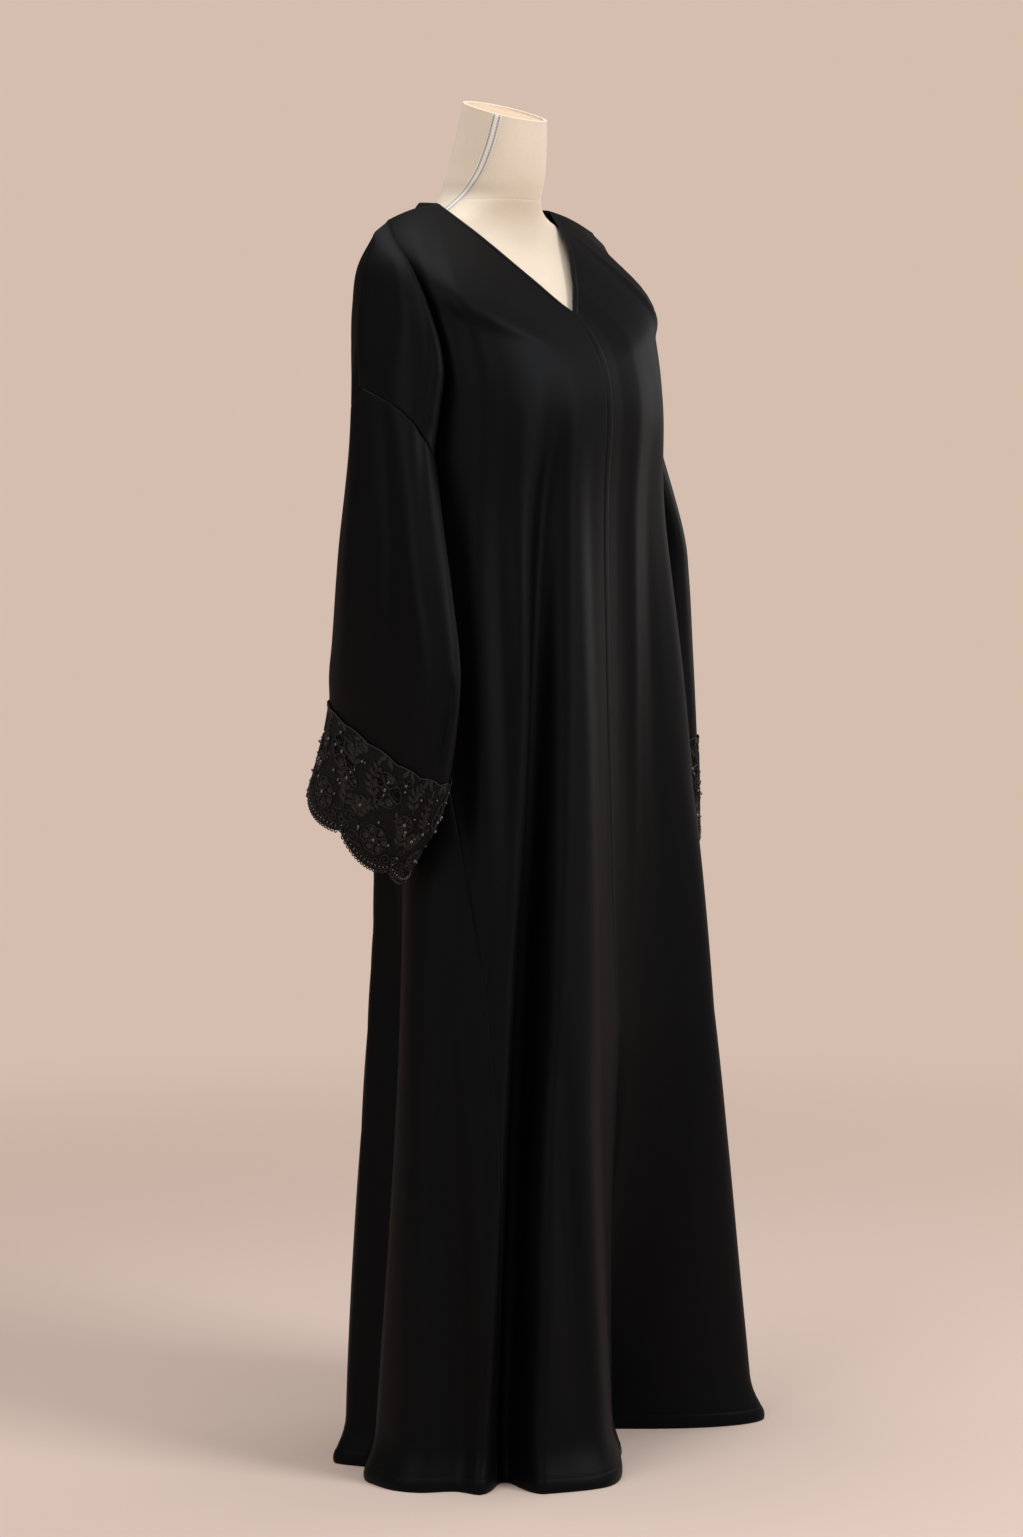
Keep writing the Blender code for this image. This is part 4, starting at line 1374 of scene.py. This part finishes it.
    def edges(self, work: LaceWork) -> None:
        """Adds the edging: cords, picots and beads below, leaves and a cord above."""
        x = np.linspace(0, self.around, 361)[:-1]
        for inset in (0.0008, 0.0034):
            work.cords.append(Motif(np.stack([x, self.border(x) - inset], axis=1), True))
        work.fine.append(Motif(np.stack([x, self.border(x) - 0.0088], axis=1), True))
        work.cords.append(Motif(np.stack([x, self.crest(x) + 0.0006], axis=1), True))
        for px in np.linspace(0, self.around, 103)[:-1]:
            t = np.linspace(0, math.pi, 6)
            base = float(self.border(np.array([px]))[0])
            loop = np.stack([px + 0.0016 * np.cos(t), base - 0.0004 + 0.0026 * np.sin(t)], axis=1)
            work.cords.append(Motif(loop, False))
        for px in np.linspace(0, self.around, 85)[:-1]:
            work.beads.append((px, float(self.border(np.array([px]))[0]) - 0.0062, 0.00115))
        for k, px in enumerate(np.linspace(0, self.around, 33)[:-1]):
            up = float(self.crest(np.array([px]))[0])
            lean = -math.pi / 2 + 0.5 * (-1) ** k
            outline = work.petal(px, up + 0.010, lean, 0.0105, 0.0050)
            work.leaves.append(outline)
            work.fine.append(Motif(outline, True))

    def tubes(self, motifs: Iterable[Motif], radius: float) -> tuple[list[Array], list[list[int]], int]:
        """Five-sided cords along lines.

        Args:
            motifs: the lines.
            radius: the cords' radius.

        Returns:
            The points, the faces and how many points there are.
        """
        sides = 5
        points: list[Array] = []
        faces: list[list[int]] = []
        count = 0
        for line, closed in motifs:
            middle, out = self.place(line, radius * 0.8)
            if closed:
                way = np.roll(middle, -1, axis=0) - np.roll(middle, 1, axis=0)
            else:
                way = np.gradient(middle, axis=0)
            way /= np.maximum(np.linalg.norm(way, axis=1), 1e-12)[:, None]
            across = np.cross(way, out)
            across /= np.maximum(np.linalg.norm(across, axis=1), 1e-12)[:, None]
            for k in range(sides):
                angle = 2 * math.pi * k / sides
                points.append(middle + radius * (math.cos(angle) * across + math.sin(angle) * out))
            total = len(line)
            for i in range(total if closed else total - 1):
                nxt = (i + 1) % total
                for k in range(sides):
                    a, b = count + k * total, count + (k + 1) % sides * total
                    faces.append([a + i, a + nxt, b + nxt, b + i])
            if not closed:
                faces.append([count + k * total for k in range(sides)])
                faces.append([count + k * total + total - 1 for k in reversed(range(sides))])
            count += sides * total
        return points, faces, count

    def satin(self, outlines: Iterable[Array], start: int) -> tuple[list[Array], list[list[int]]]:
        """Domed leaves over closed outlines, numbered after the points before them."""
        points: list[Array] = []
        faces: list[list[int]] = []
        for outline in outlines:
            heart = outline.mean(axis=0)
            rings = ((1.0, 0.0001), (0.62, 0.0009), (0.25, 0.0011))
            for scale, height in rings:
                points.append(self.place(heart + (outline - heart) * scale, height)[0])
            total = len(outline)
            for level in range(2):
                for k in range(total):
                    a, b = start + level * total, start + (level + 1) * total
                    nxt = (k + 1) % total
                    faces.append([a + k, a + nxt, b + nxt, b + k])
            faces.append([start + 2 * total + k for k in range(total)])
            start += 3 * total
        return points, faces

    def piece(self, name: str, points: Sequence[Array], faces: list[list[int]], finish: bpy.types.Material) -> bpy.types.Object:
        """A mesh piece of the cuff, with its faces pointing out.

        Args:
            name: what the piece is called after the cuff's own name.
            points: its points, in blocks.
            faces: its faces.
            finish: its material.

        Returns:
            The new object.
        """
        mesh = bpy.data.meshes.new(f"cuff_{self.side.label}_{name}")
        mesh.from_pydata(np.concatenate(points).tolist(), [], faces)
        mesh.shade_smooth()
        mesh.materials.append(finish)
        obj = bpy.data.objects.new(mesh.name, mesh)
        bpy.context.scene.collection.objects.link(obj)
        choose(obj)
        bpy.ops.object.mode_set(mode="EDIT")
        bpy.ops.mesh.select_all(action="SELECT")
        bpy.ops.mesh.normals_make_consistent(inside=False)
        bpy.ops.object.mode_set(mode="OBJECT")
        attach(obj, "root")
        LOG.info("%s: %d faces", obj.name, len(faces))
        return obj

    def net(self, work: LaceWork) -> bpy.types.Object:
        """The net ground, with its open windows marked."""
        xs = np.linspace(0, self.around, 281)
        shares = np.linspace(0, 1, 92)
        x, share = np.meshgrid(xs, shares, indexing="ij")
        y = self.crest(x) + (self.border(x) - self.crest(x)) * share
        points = self.place(np.stack([x.ravel(), y.ravel()], axis=1))[0].reshape(*x.shape, 3)
        points[-1] = points[0]
        grid = Grid.measured(points, self.side)
        grid.cloth = np.stack([x, y], axis=2)
        obj = panel_object(f"cuff_{self.side.label}_net", [grid], self.ground)
        opened = obj.data.attributes.new("open", "FLOAT", "POINT")
        values = np.zeros(len(obj.data.vertices), np.float32)
        places = np.zeros((len(obj.data.vertices), 2))
        corner = np.zeros(len(obj.data.loops), np.int64)
        obj.data.loops.foreach_get("vertex_index", corner)
        flat = np.zeros(len(obj.data.loops) * 2, np.float32)
        obj.data.uv_layers["Cloth"].data.foreach_get("uv", flat)
        places[corner] = flat.reshape(-1, 2)
        for outline in work.windows:
            heart = outline.mean(axis=0)
            delta = places - heart
            delta[:, 0] = (delta[:, 0] + self.around / 2) % self.around - self.around / 2
            reach = np.linalg.norm(outline - heart, axis=1)
            heading = np.arctan2(outline[:, 1] - heart[1], outline[:, 0] - heart[0])
            order = np.argsort(heading)
            edge = np.interp(np.arctan2(delta[:, 1], delta[:, 0]), heading[order], reach[order], period=2 * math.pi)
            values = np.maximum(values, np.clip((edge - np.linalg.norm(delta, axis=1)) / 0.0012, 0, 1))
        opened.data.foreach_set("value", values.astype(np.float32))
        return obj

    def bead_piece(self, work: LaceWork) -> bpy.types.Object:
        """The beads, all copies of one faceted ball."""
        bpy.ops.mesh.primitive_ico_sphere_add(subdivisions=2, radius=1.0)
        ball = bpy.context.object
        shape = np.array([vertex.co for vertex in ball.data.vertices])
        pattern = np.array([face.vertices[:] for face in ball.data.polygons])
        bpy.data.objects.remove(ball)
        spots = np.array([(x, y) for x, y, _ in work.beads])
        radii = np.array([radius for _, _, radius in work.beads])
        middle, _ = self.place(spots, radii * 0.75 + 0.0004)
        points = (middle[:, None, :] + shape[None] * radii[:, None, None]).reshape(-1, 3)
        faces = (pattern[None] + (np.arange(len(radii)) * len(shape))[:, None, None]).reshape(-1, 3)
        return self.piece("beads", [points], faces.tolist(), self.bead)

    def build(self) -> None:
        work = self.work()
        net = self.net(work)
        points, faces, count = self.tubes(work.cords, 0.00075)
        thin_points, thin_faces, thin_count = self.tubes(work.fine, 0.00045)
        faces += [[count + n for n in face] for face in thin_faces]
        satin_points, satin_faces = self.satin(work.leaves, count + thin_count)
        cords = self.piece("cords", points + thin_points + satin_points, faces + satin_faces, self.cord)
        beads = self.bead_piece(work)
        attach(net, "root")
        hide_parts(f"cuff_{self.side.label}")
        LOG.info("%s: %d faces, %d beads", net.name, len(net.data.polygons), len(work.beads))


class FormRing(NamedTuple):
    """A ring of the dress form."""

    z: float
    half_width: float
    y_front: float
    y_back: float
    tilt: float


@dataclass
class DressForm:
    """The linen-covered torso with its neck, tapes and cap."""

    linen: bpy.types.Material
    cap_cloth: bpy.types.Material
    tape: bpy.types.Material
    sides: int = 120
    squareness: float = 2.15
    neck_tilt: float = math.radians(16.0)
    tuck: float = 0.0018
    rim: float = 0.004
    cap_depth: float = 0.0045
    rings: tuple[FormRing, ...] = (
        FormRing(0.780, 0.120, -0.070, 0.080, 0.0),
        FormRing(0.790, 0.136, -0.080, 0.082, 0.0),
        FormRing(0.870, 0.156, -0.094, 0.088, 0.0),
        FormRing(0.960, 0.142, -0.090, 0.080, 0.0),
        FormRing(1.050, 0.118, -0.088, 0.066, 0.0),
        FormRing(1.130, 0.130, -0.104, 0.074, 0.0),
        FormRing(1.200, 0.148, -0.134, 0.088, 0.0),
        FormRing(1.250, 0.158, -0.136, 0.098, 0.0),
        FormRing(1.290, 0.162, -0.120, 0.103, 0.0),
        FormRing(1.325, 0.164, -0.096, 0.102, 0.0),
        FormRing(1.365, 0.164, -0.062, 0.096, 0.0),
        FormRing(1.390, 0.158, -0.040, 0.078, 0.0),
        FormRing(1.408, 0.140, -0.026, 0.064, 0.0),
        FormRing(1.422, 0.1125, -0.0228, 0.0665, 0.0),
        FormRing(1.434, 0.084, -0.026, 0.074, 0.0),
        FormRing(1.450, 0.062, -0.034, 0.078, 0.1),
        FormRing(1.475, 0.055, -0.045, 0.071, 0.4),
        FormRing(1.510, 0.051, -0.052, 0.060, 0.8),
        FormRing(1.553, 0.048, -0.056, 0.050, 1.0),
    )

    def surface(self, angle: Array, z: Array, scale: float = 1.0, lift: float = 0.0) -> Array:
        """Points of the form at an angle from the middle of the back and a ring's height.

        Args:
            angle: in radians.
            z: the height of each point's ring.
            scale: how large the ring is made about its middle.
            lift: how far it is moved up.

        Returns:
            A point for each place.
        """
        heights = [ring.z for ring in self.rings]
        table = smooth_curve(heights, [ring[1:] for ring in self.rings], z)
        tuck = self.tuck * np.clip((1.452 - z) / 0.022, 0, 1) ** 1.5 + 0.003 * np.clip((z - 1.45) / 0.10, 0, 1)
        half, front, back, tilt = table[:, 0] - tuck, table[:, 1] + tuck, table[:, 2] - tuck, table[:, 3]
        power = 2 / self.squareness
        across = np.sign(np.sin(angle)) * np.abs(np.sin(angle)) ** power
        along = np.sign(np.cos(angle)) * np.abs(np.cos(angle)) ** power
        reach = along * (back - front) / 2 * scale
        groove = 0.00035 * np.exp(-(((z - 1.4485 + 0.004 * along) / 0.0011) ** 2))
        x = across * (half - groove) * scale
        y = (front + back) / 2 + reach * (1 - groove / 0.05)
        return np.stack([x, y, z + np.tan(self.neck_tilt * tilt) * reach + lift], axis=1)

    def ring_sheet(self, name: str, rows: Sequence[tuple[float, float, float]], finish: bpy.types.Material) -> bpy.types.Object:
        """A closed skin through rings, each a height, a scale and a lift.

        Args:
            name: the piece's name.
            rows: the rings, from the bottom up.
            finish: the piece's material.

        Returns:
            The new object.
        """
        angles = np.linspace(0, 2 * math.pi, self.sides + 1)
        levels = [self.surface(angles, np.full(len(angles), z), scale, lift) for z, scale, lift in rows]
        points = np.stack(levels, axis=1)[:, ::-1]
        points[-1] = points[0]
        grid = Grid.measured(points, Side.RIGHT)
        obj = panel_object(name, [grid], finish)
        choose(obj)
        bpy.ops.object.mode_set(mode="EDIT")
        bpy.ops.mesh.select_all(action="SELECT")
        bpy.ops.mesh.fill_holes(sides=0)
        bpy.ops.mesh.normals_make_consistent(inside=False)
        bpy.ops.object.mode_set(mode="OBJECT")
        obj.data.set_sharp_from_angle(angle=math.radians(50))
        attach(obj, "root")
        LOG.info("%s: %d faces", obj.name, len(obj.data.polygons))
        return obj

    def ribbon(self, name: str, path: Array, width: float) -> bpy.types.Object:
        """A seam tape along places on the form, each an angle and a height."""
        angles = smooth_curve(np.linspace(0, 1, len(path)).tolist(), path, np.linspace(0, 1, 70))
        middle = self.surface(angles[:, 0], angles[:, 1])
        ahead = self.surface(angles[:, 0] + 0.02, angles[:, 1]) - self.surface(angles[:, 0] - 0.02, angles[:, 1])
        ahead /= np.linalg.norm(ahead, axis=1)[:, None]
        way = np.gradient(middle, axis=0)
        out = np.cross(ahead, way)
        out /= np.linalg.norm(out, axis=1)[:, None]
        out *= np.where((out * (middle - middle.mean(axis=0) * (0, 0, 1) - (0, 0.01, 0))).sum(axis=1) > 0, 1, -1)[:, None]
        columns = []
        places = np.linspace(-0.5, 0.5, 7)
        for place in places:
            height = 0.0007 - 0.0005 * (2 * abs(place)) ** 4
            columns.append(middle + ahead * width * place + out * height)
        grid = Grid.measured(np.stack(columns), Side.LEFT)
        obj = panel_object(name, [grid], self.tape)
        thicken(obj, -0.0003)
        choose(obj)
        bpy.ops.object.mode_set(mode="EDIT")
        bpy.ops.mesh.select_all(action="SELECT")
        bpy.ops.mesh.normals_make_consistent(inside=False)
        bpy.ops.object.mode_set(mode="OBJECT")
        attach(obj, "root")
        LOG.info("%s: %d faces", obj.name, len(obj.data.polygons))
        return obj

    def build(self) -> None:
        """Builds the torso, the cap and the two tapes."""
        low = np.concatenate([np.linspace(0.780, 1.43, 80), np.linspace(1.4335, 1.465, 40)])
        heights = np.concatenate([low, np.linspace(1.468, 1.553, 26)])
        top = self.rings[-1]
        rim = 1 - self.rim / top.half_width
        rows = [(float(z), 1.0, 0.0) for z in heights]
        rows += [(top.z, 1 - (1 - rim) * 0.3, 0.0006), (top.z, 1 - (1 - rim) * 0.75, 0.0005)]
        rows += [(top.z, rim, 0.0), (top.z, rim, -self.cap_depth)]
        torso = self.ring_sheet("form_torso_cover", rows, self.linen)
        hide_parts("form_torso")
        inside = rim - 0.0006 / top.half_width
        floor = 0.0003 - self.cap_depth
        cap_rows = [(top.z, inside, floor), (top.z, inside, floor + 0.0018), (top.z, inside - 0.02, floor + 0.0025)]
        cap_rows += [(top.z, inside * 0.6, floor + 0.0029), (top.z, inside * 0.2, floor + 0.0031)]
        cap = self.ring_sheet("form_cap_cover", cap_rows, self.cap_cloth)
        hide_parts("form_neck_cap")
        quarter = math.pi / 2
        right = [(-quarter - 0.50, 1.5525), (-quarter - 0.42, 1.520), (-quarter - 0.30, 1.480), (-quarter - 0.14, 1.450)]
        right += [(-quarter - 0.10, 1.430), (-quarter - 0.10, 1.400)]
        left = [(-angle - 0.30, z) for angle, z in right]
        self.ribbon("form_tape_right", np.array(right), 0.012)
        self.ribbon("form_tape_left", np.array(left), 0.012)


@dataclass
class Studio:
    """A pale floor and backdrop, soft lights and the camera."""

    backdrop: tuple[float, float, float] = (0.665, 0.515, 0.428)
    floor: tuple[float, float, float] = (0.720, 0.590, 0.520)
    focal: float = 92.45
    camera: tuple[float, float, float] = (-3.377, -3.149, 1.150)
    pitch: float = 4.46
    shift: float = 0.0055

    def build(self) -> None:
        """Adds the floor, the world, the lights and the camera."""
        self.add_floor()
        self.add_world()
        self.add_light("key", (0.7, -3.4, 2.7), (0.0, 0.0, 0.9), 1.5, 92.0)
        self.add_light("side", (-3.1, -0.6, 2.2), (0.0, 0.0, 0.9), 1.8, 30.0)
        self.add_light("fill", (3.0, -0.6, 1.9), (0.0, 0.0, 0.8), 1.8, 24.0)
        self.add_light("top", (-0.3, 0.2, 3.6), (0.0, 0.0, 0.6), 2.4, 62.0)
        self.add_camera()

    def add_floor(self) -> None:
        """Adds the floor, which fades into the backdrop's own colour."""
        bpy.ops.mesh.primitive_circle_add(vertices=96, radius=16.0, fill_type="NGON", location=(0.0, 0.0, -0.0004))
        floor = bpy.context.object
        floor.name = "studio_floor"
        net = Net("studio_floor")
        place = net.node("ShaderNodeTexCoord", {}, {}, "Object")
        reach = net.node("ShaderNodeVectorMath", {"operation": "LENGTH"}, {0: place}, "Value")
        share = net.node("ShaderNodeMapRange", {"interpolation_type": "SMOOTHSTEP"}, {"Value": reach, "From Min": 0.7, "From Max": 3.2})
        glow = net.node("ShaderNodeEmission", {}, {"Color": (*self.backdrop, 1.0), "Strength": 1.0})
        net.set(Base_Color=(*self.floor, 1.0), Roughness=0.85, Specular_IOR_Level=0.15)
        plain = Value(net, net.shader.outputs[0])
        mixed = net.node("ShaderNodeMixShader", {}, {0: share, 1: plain, 2: glow})
        net.tree.links.new(mixed.socket, net.tree.nodes["Material Output"].inputs["Surface"])
        floor.data.materials.append(net.material)

    def add_world(self) -> None:
        """Sets the backdrop's colour and a weaker one for its light."""
        world = bpy.data.worlds.new("studio")
        bpy.context.scene.world = world
        world.use_nodes = True
        tree = world.node_tree
        seen = tree.nodes["Background"]
        seen.inputs["Color"].default_value = (*self.backdrop, 1.0)
        lit = tree.nodes.new("ShaderNodeBackground")
        lit.inputs["Color"].default_value = (*self.backdrop, 1.0)
        lit.inputs["Strength"].default_value = 0.28
        path = tree.nodes.new("ShaderNodeLightPath")
        mix = tree.nodes.new("ShaderNodeMixShader")
        tree.links.new(path.outputs["Is Camera Ray"], mix.inputs[0])
        tree.links.new(lit.outputs[0], mix.inputs[1])
        tree.links.new(seen.outputs[0], mix.inputs[2])
        tree.links.new(mix.outputs[0], tree.nodes["World Output"].inputs["Surface"])

    def add_light(self, name: str, at: tuple[float, float, float], to: tuple[float, float, float], size: float, power: float) -> None:
        """Adds a square soft light.

        Args:
            name: the light's name.
            at: where it hangs.
            to: the point it faces.
            size: its side.
            power: in watts.
        """
        data = bpy.data.lights.new(name, "AREA")
        data.size = size
        data.energy = power
        light = bpy.data.objects.new(name, data)
        light.location = at
        light.rotation_euler = (Vector(to) - Vector(at)).to_track_quat("-Z", "Y").to_euler()
        bpy.context.scene.collection.objects.link(light)

    def add_camera(self) -> None:
        """Adds the camera at the viewing angle."""
        data = bpy.data.cameras.new("view")
        data.lens = self.focal
        data.sensor_width = 36.0
        data.shift_x = self.shift
        camera = bpy.data.objects.new("view", data)
        camera.location = self.camera
        level = Vector((-self.camera[0], -self.camera[1], 0.0)).normalized()
        tilt = math.radians(self.pitch)
        look = level * math.cos(tilt) - Vector((0.0, 0.0, math.sin(tilt)))
        camera.rotation_euler = look.to_track_quat("-Z", "Y").to_euler()
        bpy.context.scene.collection.objects.link(camera)
        bpy.context.scene.camera = camera
        bpy.context.scene.view_settings.view_transform = "Standard"


def dress_stand() -> None:
    """Gives the pole and the base their painted finish."""
    paint = SteelFinish().make()
    for name in ("form_pole", "form_base"):
        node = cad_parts[name]
        node.data.materials.clear()
        node.data.materials.append(paint)
        LOG.info("%s: painted", name)


def main() -> None:
    """Builds the scene, piece by piece."""
    logging.basicConfig(level=logging.INFO, format="%(name)s: %(message)s")
    clear_selection()
    crepe = CrepeFinish().make()
    form = ("form_torso_cover",)
    lace = LaceFinish()
    ground, cord, bead = lace.make_net(), lace.make_cord(), BeadFinish().make()
    linen = LinenFinish().make()
    cap = LinenFinish("cap_linen", (0.66, 0.50, 0.35), (0.56, 0.41, 0.28)).make()
    DressForm(linen, cap, TapeFinish().make()).build()
    for side in Side:
        FrontPanel(f"front_{side.label}", crepe, "hung", form, side=side).build()
    BackPanel("back", crepe, "hung", form).build()
    for side in Side:
        SleevePanel(f"sleeve_{side.label}", crepe, side=side).build()
        LaceCuff(side, ground, cord, bead).build()
    dress_stand()
    Studio().build()


if __name__ == "__main__":
    main()
